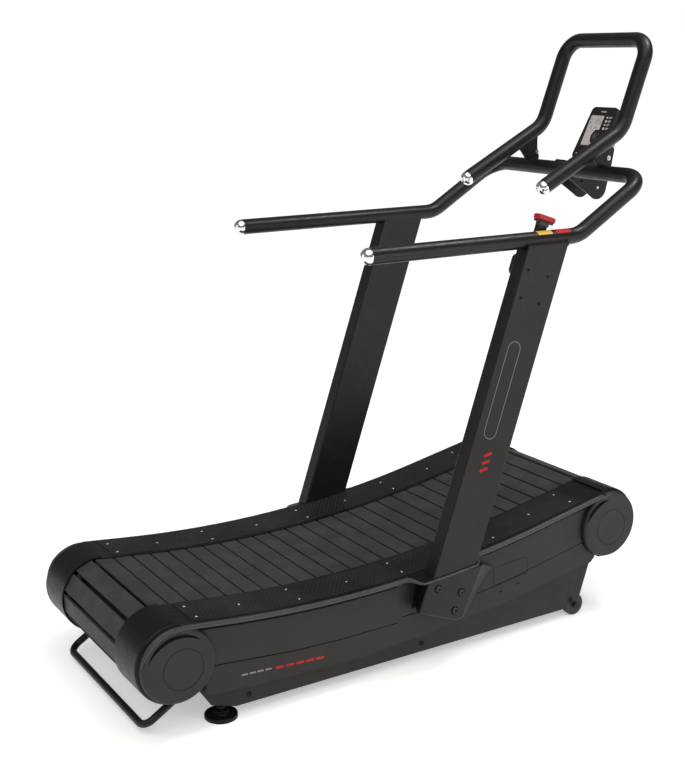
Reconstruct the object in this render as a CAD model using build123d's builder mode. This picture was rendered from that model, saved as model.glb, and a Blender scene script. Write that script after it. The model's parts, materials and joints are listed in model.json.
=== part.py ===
from build123d import *
import os
from math import acos, atan2, cos, copysign, degrees, hypot, radians, sin, sqrt

os.makedirs("parts", exist_ok=True)

# Curved manual treadmill, in millimetres. +X is the way the runner faces, +Y the runner's
# left, +Z up. The origin is on the floor, under the middle of the whole machine.
# Right-hand pieces are drawn on planes that face -Y and mirrored for the left-hand side.

# ------------------------------------------------------------------ driving dimensions
# Running surface: a wide arc, straight run-ins, and a roller at each end
DECK_RADIUS = 3700
DECK_CENTRE = (-305, 4000)
REAR_ROLLER = (-846, 226)
FRONT_ROLLER = (698, 315)
BELT_RADIUS = 110
SLAT_COUNT = 62
SLAT_WIDTH = 54.2
SLAT_LENGTH = 430
SLAT_PLATE = 7
RIB_WIDTH = 28
RIB_DEPTH = 11
RIB_LENGTH = 330
FIRST_GAP = 40
PITCH_DEPTH = 11
CARRIER_TOP = -7.25
CARRIER_BOTTOM = -15
CARRIER_Y = (172, 200)

# Chassis
PLATE_Y = 318
PLATE_THICK = 4
PLATE_TOP = -30
PLATE_LOBE = 80
CROSS_TUBE = 40
CROSS_TUBE_X = (-640, -300, 112, 500)
WHEEL_BAR_X = 545
RAIL_Y = 204
RAIL_THICK = 6
RAIL_TOP = -19
RAIL_BOTTOM = -60
RAIL_END_GAP = 110
BEARING_RADIUS = 13
BEARING_WIDTH = 9
BEARING_Y = 181
BEARING_COUNT = 23
BEARING_INSET = 23
PIN_RADIUS = 4

# Shafts, drums and the brake
SHAFT_RADIUS = 15
RUNNING_GAP = 0.05
SLIP_GAP = 0.3
BLOCK_SIZE = 84
BLOCK_THICK = 14
DRUM_RADIUS = 94.6
DRUM_CORE = 80
DRUM_WALL = 3
DRUM_WINDOW = (46, 15)
PULLEY_Y = 283
PULLEY_WIDTH = 13
PULLEY_RADIUS = 70
BRAKE_CENTRE = (430, 180)
BRAKE_PULLEY_RADIUS = 26
BRAKE_BELT_THICK = 4
FLYWHEEL_RADIUS = 100
FLYWHEEL_THICK = 10
FLYWHEEL_Y = 252
YOKE_PIVOT = (290, 110)
YOKE_PIN_RADIUS = 5
AXLE_RADIUS = 8

# Trims, end covers and side covers
TRIM_Y = (202, 367)
TRIM_TOP = 3
TRIM_BOTTOM = -11
TRIM_SKIN = 4
BELT_CLEARANCE = 1
PAD_THICK = 1.2
PAD_Y = (212, 346)
PAD_X = (-790, 590)
SCREW_PAIR_X = (-765, -442, -96, 249, 560)
SCREW_SINGLE_X = (-615, -268, 77, 421)
SCREW_PAIR_Y = (238.5, 316)
SCREW_SINGLE_Y = 278
COVER_RADIUS = 117.5
COVER_WALL = 3
COVER_ROUND = 10
COVER_SEAT_Y = 350
CAP_RADIUS = 109
CAP_ROUND = 8
CAP_HOLLOW = (62, 8)
GROOVE_RADIUS = 60
POCKET_DEPTH = 11
PANEL_Y = 349.5
LOWER_PANEL_Y = 346
PANEL_BACK_Y = 322.5
SHELL = 3

# Uprights and rails
LEAN = 18.7
UPRIGHT_WIDTH = 156.5
UPRIGHT_Y = (350, 400)
UPRIGHT_WALL = 3
UPRIGHT_FOOT_Z = 168
FOOT_CUT = ((-150, 237), (90, 141.5))
UPRIGHT_HEAD_Z = 1264
UPRIGHT_REAR_X = -37
UPRIGHT_REAR_Z = 300
BRACKET_THICK = 5
BRACKET_WALL = 4.5
TUBE_RADIUS = 24.15
TUBE_WALL = 2.5
RAIL_HALF = 370
HANDRAIL_Z = 1277
HANDRAIL_REAR_X = -245
RAIL_BENDS = [110, 78, 78, 110]
HANDRAIL_BEND_X = 505
CROSS_BAR = (770, 1435.5)
HANDLE_HALF = 192
HANDLE_END = (517.6, 1404.9)
HANDLE_BEND = (835, 1569.4)
HANDLE_TOP = (939.35, 1848.4)
HANDLE_BENDS = [90, 64, 64, 90]
BOLT_RADIUS = 6
UPRIGHT_BOLTS = ((-21.5, 270.3), (63.2, 240.3), (40.4, 187.4))

# Console and lever
CONSOLE_FOOT = (861.8, 1464.9)
CONSOLE_TILT = 63.7
CONSOLE_LENGTH = 186
CONSOLE_HALF_FOOT = 74
CONSOLE_HALF_TOP = 60
CONSOLE_FRONT = 14
CONSOLE_BACK = 16
DIAL_AT = (2, 81)
DIAL_RADIUS = 19
KEY_AT = ((14, 27), (44, 27))
KEY_SIZE = (24, 13)
KEY_PROUD = 2.5
BRACKET_HALF = 40
LEVER_PIVOT = (355.5, 1210)
LEVER_Y = (327, 344.5)
LEVER_WIDTH = 32
KNOB_Y = (315, 345)
KNOB_SIZE = (66, 17)

# Ground contact
FOOT_AT = (-690, 291)
FOOT_RADIUS = 47.5
STUD_RADIUS = 8
WHEEL_AT = (605, 36)
WHEEL_RADIUS = 36
WHEEL_Y = (291, 315)
WHEEL_BORE = 6
LIFT_RADIUS = 10.8
LIFT_HALF = 282
LIFT_BAR = (-919, 28.7)
LIFT_END = (-716, 154)


# ------------------------------------------------------------------ running-surface geometry
def run_in_slope(roller):
    """Slope in radians of the straight line between the deck's arc and a roller."""
    dx, dz = roller[0] - DECK_CENTRE[0], DECK_CENTRE[1] - roller[1]
    swing = acos((DECK_RADIUS + BELT_RADIUS) / hypot(dx, dz))
    return atan2(dx, dz) - copysign(swing, dx)


REAR_SLOPE = run_in_slope(REAR_ROLLER)
FRONT_SLOPE = run_in_slope(FRONT_ROLLER)
RETURN_SLOPE = atan2(FRONT_ROLLER[1] - REAR_ROLLER[1], FRONT_ROLLER[0] - REAR_ROLLER[0])


def deck_point(slope, rise):
    """Point of the deck's arc with that slope, raised off the belt's top face."""
    radius = DECK_RADIUS - rise
    return DECK_CENTRE[0] + radius * sin(slope), DECK_CENTRE[1] - radius * cos(slope)


def roller_point(roller, angle, rise):
    """Point at an angle around a roller, raised off the belt's outer face."""
    radius = BELT_RADIUS + rise
    return roller[0] + radius * cos(angle), roller[1] + radius * sin(angle)


def crown(roller, slope, rise):
    """Where the run-in meets a roller."""
    return roller_point(roller, radians(90) + slope, rise)


def deck_slope_at(x):
    """Slope of the running surface above a given x."""
    arc_slope = atan2(x - DECK_CENTRE[0], sqrt(DECK_RADIUS**2 - (x - DECK_CENTRE[0]) ** 2))
    return min(max(arc_slope, REAR_SLOPE), FRONT_SLOPE)


def deck_height_at(x, rise=0.0):
    """Height of the running surface above a given x, raised off the belt's top face."""
    slope = deck_slope_at(x)
    px, pz = deck_point(slope, rise)
    return pz + (x - px) * sin(slope) / cos(slope)


def deck_curve(rise):
    """The running surface in a BuildLine, from the rear roller's crown to the front's."""
    rear, front = crown(REAR_ROLLER, REAR_SLOPE, rise), crown(FRONT_ROLLER, FRONT_SLOPE, rise)
    first, last = deck_point(REAR_SLOPE, rise), deck_point(FRONT_SLOPE, rise)
    Line(rear, first)
    ThreePointArc(first, deck_point((REAR_SLOPE + FRONT_SLOPE) / 2, rise), last)
    Line(last, front)


def deck_band(low, high):
    """Face between two heights over the running surface, in a BuildSketch."""
    with BuildLine() as outline:
        deck_curve(high)
        deck_curve(low)
        for roller, slope in ((REAR_ROLLER, REAR_SLOPE), (FRONT_ROLLER, FRONT_SLOPE)):
            Line(crown(roller, slope, low), crown(roller, slope, high))
    make_face(outline.edges())


def belt_loop(rise):
    """The belt's whole closed path, in a BuildLine."""
    deck_curve(rise)
    ends = []
    for roller, slope, side in ((FRONT_ROLLER, FRONT_SLOPE, -1), (REAR_ROLLER, REAR_SLOPE, 1)):
        start = radians(90) + slope
        stop = RETURN_SLOPE + (radians(-90) if side < 0 else radians(270))
        low_point = roller_point(roller, stop, rise)
        ThreePointArc(
            roller_point(roller, start, rise),
            roller_point(roller, (start + stop) / 2, rise),
            low_point,
        )
        ends.append(low_point)
    Line(*ends)


def side_plane(y):
    """Plane parallel to XZ at y on the right-hand side, facing outwards."""
    return Plane.XZ.offset(y)


def finish_part(builder, name):
    """Label a finished piece and write it."""
    builder.part.label = name
    export_step(builder.part, f"parts/{name}.step")


def write_pair(builder, name):
    """Write a right-hand piece and its left-hand mirror image."""
    finish_part(builder, f"right_{name}")
    with BuildPart() as left:
        mirror(builder.part, about=Plane.XZ)
    finish_part(left, f"left_{name}")


# ------------------------------------------------------------------ chassis
plate_corners = [
    crown(FRONT_ROLLER, FRONT_SLOPE, PLATE_TOP),
    FRONT_ROLLER,
    (656, 181),
    (617, 65),
    (544, 35),
    (-656, 35),
    (-734, 60),
    (-758, 96),
    REAR_ROLLER,
    crown(REAR_ROLLER, REAR_SLOPE, PLATE_TOP),
]
with BuildPart() as side_plate:
    with BuildSketch(side_plane(PLATE_Y)):
        with BuildLine():
            deck_curve(PLATE_TOP)
            Polyline(*plate_corners)
        make_face()
        with Locations(REAR_ROLLER, FRONT_ROLLER):
            Circle(PLATE_LOBE)
        with Locations(REAR_ROLLER, FRONT_ROLLER):
            Circle(SHAFT_RADIUS + 3, mode=Mode.SUBTRACT)
        with Locations(*UPRIGHT_BOLTS):
            Circle(BOLT_RADIUS + SLIP_GAP, mode=Mode.SUBTRACT)
        with Locations(WHEEL_AT):
            Circle(WHEEL_BORE, mode=Mode.SUBTRACT)
    extrude(amount=PLATE_THICK)
write_pair(side_plate, "side_plate")

with BuildPart() as cross_members:
    for tube_x in CROSS_TUBE_X:
        tube_z = deck_height_at(tube_x, RAIL_BOTTOM - 1) - CROSS_TUBE / 2 - 3
        with BuildSketch(side_plane(-PLATE_Y)):
            with Locations((tube_x, tube_z)):
                RectangleRounded(CROSS_TUBE, CROSS_TUBE, 4)
                RectangleRounded(CROSS_TUBE - 5, CROSS_TUBE - 5, 2, mode=Mode.SUBTRACT)
        extrude(amount=2 * PLATE_Y)
    for bar_x, bar_z in ((FOOT_AT[0], 70), (WHEEL_BAR_X, 60)):
        with BuildSketch(side_plane(-PLATE_Y)):
            with Locations((bar_x, bar_z)):
                RectangleRounded(CROSS_TUBE, CROSS_TUBE, 4)
                RectangleRounded(CROSS_TUBE - 6, CROSS_TUBE - 6, 2, mode=Mode.SUBTRACT)
        extrude(amount=2 * PLATE_Y)
    with BuildSketch(Plane.XY.offset(40)):
        with Locations((FOOT_AT[0], FOOT_AT[1]), (FOOT_AT[0], -FOOT_AT[1])):
            Circle(STUD_RADIUS + RUNNING_GAP)
    extrude(amount=60, mode=Mode.SUBTRACT)
finish_part(cross_members, "cross_members")

rail_first = REAR_ROLLER[0] + RAIL_END_GAP
rail_last = FRONT_ROLLER[0] - RAIL_END_GAP
with BuildPart() as bearing_rail:
    with BuildSketch(side_plane(RAIL_Y)):
        deck_band(RAIL_BOTTOM, RAIL_TOP)
    extrude(amount=RAIL_THICK)
    split(bisect_by=Plane.YZ.offset(rail_first), keep=Keep.TOP)
    split(bisect_by=Plane.YZ.offset(rail_last), keep=Keep.BOTTOM)
with BuildPart() as bearing_rails:
    add(bearing_rail.part)
    mirror(bearing_rail.part, about=Plane.XZ)
finish_part(bearing_rails, "bearing_rails")

bearing_step = (rail_last - rail_first - 2 * BEARING_INSET) / (BEARING_COUNT - 1)
bearing_rise = CARRIER_BOTTOM - 0.4 - BEARING_RADIUS
with BuildPart() as one_bearing:
    with BuildSketch(side_plane(BEARING_Y)):
        Circle(BEARING_RADIUS)
    extrude(amount=BEARING_WIDTH)
    with BuildSketch(side_plane(BEARING_Y + BEARING_WIDTH)):
        Circle(PIN_RADIUS)
    extrude(amount=RAIL_Y - BEARING_Y - BEARING_WIDTH)
    chamfer(one_bearing.edges().filter_by(GeomType.CIRCLE).sort_by(Axis.Y)[:1], 0.8)
with BuildPart() as support_bearings:
    for index in range(BEARING_COUNT):
        bearing_x = rail_first + BEARING_INSET + index * bearing_step
        with Locations((bearing_x, 0, deck_height_at(bearing_x, bearing_rise))):
            add(one_bearing.part)
    mirror(about=Plane.XZ)
finish_part(support_bearings, "support_bearings")

# ------------------------------------------------------------------ belt
with BuildPart() as slat:
    with BuildSketch(Plane.XZ.offset(-SLAT_LENGTH / 2)):
        with Locations((0, PITCH_DEPTH - SLAT_PLATE / 2)):
            Rectangle(SLAT_WIDTH, SLAT_PLATE)
    extrude(amount=SLAT_LENGTH)
    chamfer(slat.edges().filter_by(Axis.Y).group_by(Axis.Z)[-1], 1.2)
    with BuildSketch(Plane.XZ.offset(-RIB_LENGTH / 2)):
        with Locations((0, PITCH_DEPTH - SLAT_PLATE - RIB_DEPTH / 2)):
            Rectangle(RIB_WIDTH, RIB_DEPTH)
    extrude(amount=RIB_LENGTH)

with BuildLine(Plane.XZ) as pitch_line:
    belt_loop(-PITCH_DEPTH)
pitch_wire = pitch_line.wires()[0]
slat_pitch = pitch_wire.length / SLAT_COUNT
slat_places = []
for index in range(SLAT_COUNT):
    reach = (FIRST_GAP + (index + 0.5) * slat_pitch) % pitch_wire.length
    spot = pitch_wire.position_at(reach, position_mode=PositionMode.LENGTH)
    along = pitch_wire.tangent_at(reach, position_mode=PositionMode.LENGTH)
    slat_places.append(Plane(spot, x_dir=along, z_dir=Vector(-along.Z, 0, along.X)))
with BuildPart() as belt_slats:
    with Locations(*slat_places):
        add(slat.part)
finish_part(belt_slats, "belt_slats")

with BuildPart() as carrier_belts:
    with BuildSketch(side_plane(CARRIER_Y[0])):
        with BuildLine():
            belt_loop(CARRIER_TOP)
        make_face()
        with BuildLine():
            belt_loop(CARRIER_BOTTOM)
        make_face(mode=Mode.SUBTRACT)
    extrude(amount=CARRIER_Y[1] - CARRIER_Y[0])
    mirror(about=Plane.XZ)
finish_part(carrier_belts, "carrier_belts")


# ------------------------------------------------------------------ rollers
def round_bar(centre, radius, start_y, length, mode=Mode.ADD):
    """Cylinder across the machine, from start_y outwards to the right, in a BuildPart."""
    with BuildSketch(side_plane(start_y)) as section:
        with Locations(centre):
            Circle(radius)
    extrude(section.sketch, amount=length, mode=mode)


def drum(roller):
    """Hollow core with a flanged pulley for each carrier belt, in a BuildPart."""
    edge_y, pulley_y = RAIL_Y - 1, CARRIER_Y[0] - 2
    round_bar(roller, DRUM_CORE, -edge_y, 2 * edge_y)
    for low, radius in ((pulley_y, DRUM_RADIUS), (edge_y - 2, DRUM_RADIUS + 3.4)):
        for start in (low, -edge_y):
            round_bar(roller, radius, start, edge_y - low)
    round_bar(roller, DRUM_CORE - DRUM_WALL, -pulley_y, 2 * pulley_y, Mode.SUBTRACT)
    round_bar(roller, SHAFT_RADIUS + 8, -pulley_y, 2 * pulley_y)
    for index in range(6):
        window = roller_point(roller, radians(60 * index), DRUM_WINDOW[0] - BELT_RADIUS)
        round_bar(window, DRUM_WINDOW[1], -edge_y, 2 * edge_y, Mode.SUBTRACT)
    round_bar(roller, SHAFT_RADIUS + RUNNING_GAP, -edge_y, 2 * edge_y, Mode.SUBTRACT)


def roller_shaft(roller):
    """Round shaft that ends inside the bearing blocks, in a BuildPart."""
    round_bar(roller, SHAFT_RADIUS, -PLATE_Y + 3, 2 * (PLATE_Y - 3))
    chamfer(edges().filter_by(GeomType.CIRCLE), 1)


with BuildPart() as front_drum:
    drum(FRONT_ROLLER)
finish_part(front_drum, "front_drum")
with BuildPart() as rear_drum:
    drum(REAR_ROLLER)
finish_part(rear_drum, "rear_drum")
with BuildPart() as front_shaft:
    roller_shaft(FRONT_ROLLER)
finish_part(front_shaft, "front_shaft")
with BuildPart() as rear_shaft:
    roller_shaft(REAR_ROLLER)
finish_part(rear_shaft, "rear_shaft")

with BuildPart() as bearing_blocks:
    with BuildSketch(side_plane(PLATE_Y - BLOCK_THICK)):
        with Locations(REAR_ROLLER, FRONT_ROLLER):
            RectangleRounded(BLOCK_SIZE, BLOCK_SIZE, 12)
            Circle(SHAFT_RADIUS + 2 * RUNNING_GAP, mode=Mode.SUBTRACT)
    extrude(amount=BLOCK_THICK)
    mirror(about=Plane.XZ)
finish_part(bearing_blocks, "bearing_blocks")

with BuildPart() as tension_screws:
    for screw_z in (REAR_ROLLER[1] - 52, REAR_ROLLER[1] + 52):
        with BuildSketch(Plane.YZ.offset(REAR_ROLLER[0] - 40)):
            with Locations((-PLATE_Y + BLOCK_THICK / 2, screw_z)):
                Circle(4)
        extrude(amount=80)
        with BuildSketch(Plane.YZ.offset(REAR_ROLLER[0] + 40)):
            with Locations((-PLATE_Y + BLOCK_THICK / 2, screw_z)):
                RegularPolygon(6.5, 6)
        extrude(amount=6)
    mirror(about=Plane.XZ)
finish_part(tension_screws, "tension_screws")

# ------------------------------------------------------------------ magnetic brake
with BuildPart() as drive_pulley:
    with BuildSketch(side_plane(PULLEY_Y)):
        with Locations(FRONT_ROLLER):
            Circle(PULLEY_RADIUS)
            Circle(SHAFT_RADIUS + RUNNING_GAP, mode=Mode.SUBTRACT)
            with PolarLocations(43, 5):
                Circle(14, mode=Mode.SUBTRACT)
    extrude(amount=PULLEY_WIDTH)
finish_part(drive_pulley, "drive_pulley")

with BuildPart() as brake_belt:
    with BuildSketch(side_plane(PULLEY_Y + 1)):
        for grow, mode in ((SLIP_GAP + BRAKE_BELT_THICK, Mode.ADD), (SLIP_GAP, Mode.SUBTRACT)):
            with Locations(FRONT_ROLLER):
                large = Circle(PULLEY_RADIUS + grow, mode=Mode.PRIVATE)
            with Locations(BRAKE_CENTRE):
                small = Circle(BRAKE_PULLEY_RADIUS + grow, mode=Mode.PRIVATE)
            make_hull(large.edges() + small.edges(), mode=mode)
    extrude(amount=PULLEY_WIDTH - 2)
finish_part(brake_belt, "brake_belt")

with BuildPart() as flywheel:
    for start, thick, radius in (
        (FLYWHEEL_Y, FLYWHEEL_THICK, FLYWHEEL_RADIUS),
        (FLYWHEEL_Y - 8, PULLEY_Y + PULLEY_WIDTH - FLYWHEEL_Y + 12, 18),
        (PULLEY_Y, PULLEY_WIDTH, BRAKE_PULLEY_RADIUS),
    ):
        with BuildSketch(side_plane(start)):
            with Locations(BRAKE_CENTRE):
                Circle(radius)
        extrude(amount=thick)
    with BuildSketch(side_plane(FLYWHEEL_Y - 10)):
        with Locations(BRAKE_CENTRE):
            Circle(AXLE_RADIUS + RUNNING_GAP)
            with PolarLocations(58, 6):
                Circle(13)
    extrude(amount=PLATE_Y - FLYWHEEL_Y + 10, mode=Mode.SUBTRACT)
finish_part(flywheel, "flywheel")

with BuildPart() as brake_pins:
    for place, radius, start in (
        (BRAKE_CENTRE, AXLE_RADIUS, FLYWHEEL_Y - 12),
        (YOKE_PIVOT, YOKE_PIN_RADIUS, FLYWHEEL_Y - 14),
    ):
        with BuildSketch(side_plane(start)):
            with Locations(place):
                Circle(radius)
        extrude(amount=PLATE_Y - start)
finish_part(brake_pins, "brake_pins")

with BuildPart() as magnet_yoke:
    yoke_y = FLYWHEEL_Y - 10
    yoke_width = FLYWHEEL_THICK + 20
    for start in (yoke_y, yoke_y + yoke_width - 4):
        with BuildSketch(side_plane(start)):
            with Locations(YOKE_PIVOT):
                Circle(14)
            with BuildLine():
                Polyline((283, 121), (352, 168), (372, 128), (300, 98), close=True)
            make_face()
        extrude(amount=4)
    with BuildSketch(side_plane(yoke_y)):
        with Locations(YOKE_PIVOT):
            Circle(12)
    extrude(amount=yoke_width)
    with BuildSketch(side_plane(yoke_y - 1)):
        with Locations(YOKE_PIVOT):
            Circle(YOKE_PIN_RADIUS + RUNNING_GAP)
    extrude(amount=yoke_width + 2, mode=Mode.SUBTRACT)
finish_part(magnet_yoke, "magnet_yoke")

# ------------------------------------------------------------------ trims and grip pads
screw_places = [(x, y) for x in SCREW_PAIR_X for y in SCREW_PAIR_Y]
screw_places += [(x, SCREW_SINGLE_Y) for x in SCREW_SINGLE_X]


def screw_plane(x, y, rise):
    """Plane square to a trim screw's axis, raised off the trim's top face."""
    slope = deck_slope_at(x)
    on_trim = Plane(
        (x, -y, deck_height_at(x, TRIM_TOP)),
        x_dir=(cos(slope), 0, sin(slope)),
        z_dir=(-sin(slope), 0, cos(slope)),
    )
    return on_trim.offset(rise)


with BuildPart() as trim:
    with BuildSketch(side_plane(TRIM_Y[0])):
        deck_band(TRIM_BOTTOM, TRIM_TOP)
    extrude(amount=TRIM_Y[1] - TRIM_Y[0])
    outer_edges = trim.edges().group_by(Axis.Y)[0]
    fillet([edge for edge in outer_edges if edge.length > 20], 6.8)
    with BuildSketch(side_plane(TRIM_Y[0] - 1)):
        deck_band(TRIM_BOTTOM - 1, BELT_CLEARANCE)
    extrude(amount=SLAT_LENGTH / 2 + 4 - TRIM_Y[0] + 1, mode=Mode.SUBTRACT)
    with BuildSketch(side_plane(SLAT_LENGTH / 2 + 8)):
        deck_band(TRIM_BOTTOM - 1, TRIM_TOP - TRIM_SKIN)
    extrude(amount=TRIM_Y[1] - 15 - SLAT_LENGTH / 2 - 8, mode=Mode.SUBTRACT)
    with BuildSketch(side_plane(UPRIGHT_Y[0] - 1)):
        with Locations((26, 300)):
            Rectangle(242, 120)
    extrude(amount=30, mode=Mode.SUBTRACT)
    for roller in (REAR_ROLLER, FRONT_ROLLER):
        round_bar(roller, CAP_RADIUS + SLIP_GAP, COVER_SEAT_Y - 1, 30, Mode.SUBTRACT)
    for place in screw_places:
        with BuildSketch(screw_plane(*place, 1)):
            Circle(2.2)
        extrude(amount=-8, mode=Mode.SUBTRACT)
write_pair(trim, "trim")

with BuildPart() as grip_pad:
    with BuildSketch(side_plane(PAD_Y[0])):
        deck_band(TRIM_TOP, TRIM_TOP + PAD_THICK)
    extrude(amount=PAD_Y[1] - PAD_Y[0])
    split(bisect_by=Plane.YZ.offset(PAD_X[0]), keep=Keep.TOP)
    split(bisect_by=Plane.YZ.offset(PAD_X[1]), keep=Keep.BOTTOM)
    for place in screw_places:
        with BuildSketch(screw_plane(*place, 3)):
            Circle(2.2)
        extrude(amount=-6, mode=Mode.SUBTRACT)
with BuildPart() as grip_pads:
    add(grip_pad.part)
    mirror(grip_pad.part, about=Plane.XZ)
finish_part(grip_pads, "grip_pads")

with BuildPart() as trim_screws:
    for place in screw_places:
        with BuildSketch(screw_plane(*place, PAD_THICK + RUNNING_GAP)):
            Circle(3.8)
        extrude(amount=1.3)
        with BuildSketch(screw_plane(*place, PAD_THICK + RUNNING_GAP)):
            Circle(2)
        extrude(amount=-5)
    mirror(about=Plane.XZ)
finish_part(trim_screws, "trim_screws")


# ------------------------------------------------------------------ end covers
def end_cover(roller, slope, forward):
    """Drum-shaped cover around one end of the belt, in a BuildPart. forward is 1 at the front."""
    top_cut = radians(90) + slope
    reach = 400
    with BuildSketch(side_plane(TRIM_Y[0])) as sector:
        with Locations(roller):
            Circle(COVER_RADIUS)
        with BuildLine() as inner_side:
            Polyline(
                roller,
                (roller[0] + reach * cos(top_cut), roller[1] + reach * sin(top_cut)),
                (roller[0] - forward * reach, roller[1] + reach),
                (roller[0] - forward * reach, roller[1] - reach),
                (roller[0] - forward * reach * 0.2, roller[1] - reach),
                close=True,
            )
        make_face(inner_side.edges(), mode=Mode.SUBTRACT)
    extrude(sector.sketch, amount=COVER_SEAT_Y - TRIM_Y[0])
    fillet(edges().filter_by(GeomType.CIRCLE).group_by(Axis.Y)[0], COVER_ROUND)
    for radius, stop_y in (
        (COVER_RADIUS - COVER_WALL, COVER_SEAT_Y - COVER_ROUND - 2),
        (COVER_RADIUS - COVER_ROUND - 1, COVER_SEAT_Y - 4),
    ):
        round_bar(roller, radius, TRIM_Y[0] - 1, stop_y - TRIM_Y[0] + 1, Mode.SUBTRACT)
    round_bar(roller, CAP_RADIUS - 2, COVER_SEAT_Y - 4, 4)


for end, roller, slope, forward in (
    ("rear", REAR_ROLLER, REAR_SLOPE, -1),
    ("front", FRONT_ROLLER, FRONT_SLOPE, 1),
):
    with BuildPart() as right_cover:
        end_cover(roller, slope, forward)
    finish_part(right_cover, f"{end}_right_end_cover")
    with BuildPart() as left_cover:
        mirror(right_cover.part, about=Plane.XZ)
    finish_part(left_cover, f"{end}_left_end_cover")

# Each end disc has a shallow ring groove, and a finger pocket between two arcs under its lip:
# the pocket is inside the first circle and outside the second
GROOVES_AT = ((-833, 214), (703, 305))
POCKETS = (
    ((-847.5, 229), 89, (-840.5, 199), 106.7),
    ((674, 327), 76, (742, 233), 177),
)
with BuildPart() as end_discs:
    for roller in (REAR_ROLLER, FRONT_ROLLER):
        round_bar(roller, CAP_RADIUS, COVER_SEAT_Y, TRIM_Y[1] - COVER_SEAT_Y)
    fillet(end_discs.edges().filter_by(GeomType.CIRCLE).group_by(Axis.Y)[0], CAP_ROUND)
    for roller in (REAR_ROLLER, FRONT_ROLLER):
        round_bar(roller, CAP_HOLLOW[0], COVER_SEAT_Y, CAP_HOLLOW[1], Mode.SUBTRACT)
    for lip_at, lip_radius, step_at, step_radius in POCKETS:
        with BuildSketch(side_plane(TRIM_Y[1] - POCKET_DEPTH)):
            with Locations(lip_at):
                Circle(lip_radius)
            with Locations(step_at):
                Circle(step_radius, mode=Mode.SUBTRACT)
        extrude(amount=POCKET_DEPTH + 1, mode=Mode.SUBTRACT)
    with BuildSketch(side_plane(TRIM_Y[1] - 2)):
        with Locations(*GROOVES_AT):
            Circle(GROOVE_RADIUS)
            Circle(GROOVE_RADIUS - 1.5, mode=Mode.SUBTRACT)
    extrude(amount=4, mode=Mode.SUBTRACT)
    mirror(about=Plane.XZ)
finish_part(end_discs, "end_discs")

# ------------------------------------------------------------------ side covers
SEAM = [
    (-742, 194),
    (-480, 171),
    (-328, 166),
    (-130, 168),
    (-112, 183),
    (153, 191),
    (250, 201),
    (610, 272),
]
SEAM_WIDTH = 4.5
SKIRT_FOOT = [
    (-744, 104),
    (-618, 97),
    (-263, 86),
    (-10, 102),
    (131, 121),
    (261, 128),
    (640, 190),
]


def cover_shell(draw, outer_y):
    """Shell with an outer panel and a rim that goes in to the chassis plate, in a BuildPart."""
    for inset, depth, mode in (
        (0, outer_y - PANEL_BACK_Y, Mode.ADD),
        (SHELL, outer_y - PANEL_BACK_Y - SHELL, Mode.SUBTRACT),
    ):
        with BuildSketch(side_plane(PANEL_BACK_Y)) as outline:
            draw()
            with Locations(REAR_ROLLER, FRONT_ROLLER):
                Circle(CAP_RADIUS + 1, mode=Mode.SUBTRACT)
            if inset:
                offset(amount=-inset, mode=Mode.REPLACE)
        extrude(outline.sketch, amount=depth, mode=mode)
    for place in UPRIGHT_BOLTS:
        round_bar(place, 13, PANEL_BACK_Y - 1, 40, Mode.SUBTRACT)


def upper_outline():
    """From just under the trim down to the seam."""
    with BuildLine() as outline:
        deck_curve(TRIM_BOTTOM - 1)
        Polyline(
            crown(FRONT_ROLLER, FRONT_SLOPE, TRIM_BOTTOM - 1),
            FRONT_ROLLER,
            *reversed(SEAM),
            REAR_ROLLER,
            crown(REAR_ROLLER, REAR_SLOPE, TRIM_BOTTOM - 1),
        )
    make_face(outline.edges())


def lower_outline():
    """From the seam down to the skirt's foot."""
    with BuildLine() as outline:
        Polyline(
            *[(x, z - SEAM_WIDTH) for x, z in SEAM],
            (655, 262),
            (655, 206),
            *reversed(SKIRT_FOOT),
            (-758, 112),
            (-758, 192),
            close=True,
        )
    make_face(outline.edges())


with BuildPart() as upper_cover:
    cover_shell(upper_outline, PANEL_Y)
write_pair(upper_cover, "upper_cover")
with BuildPart() as lower_cover:
    cover_shell(lower_outline, LOWER_PANEL_Y)
write_pair(lower_cover, "lower_cover")

# ------------------------------------------------------------------ uprights
lean_run = sin(radians(LEAN)) / cos(radians(LEAN))


def upright_rear_x(z):
    """Rear edge of an upright at a height."""
    return UPRIGHT_REAR_X + (z - UPRIGHT_REAR_Z) * lean_run


def upright_outline(inset, low, high):
    """Leaning outline between two heights, in a BuildSketch."""
    wall = inset / cos(radians(LEAN))
    with BuildLine() as outline:
        Polyline(
            (upright_rear_x(low) + wall, low),
            (upright_rear_x(low) + UPRIGHT_WIDTH - wall, low),
            (upright_rear_x(high) + UPRIGHT_WIDTH - wall, high),
            (upright_rear_x(high) + wall, high),
            close=True,
        )
    make_face(outline.edges())


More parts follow.
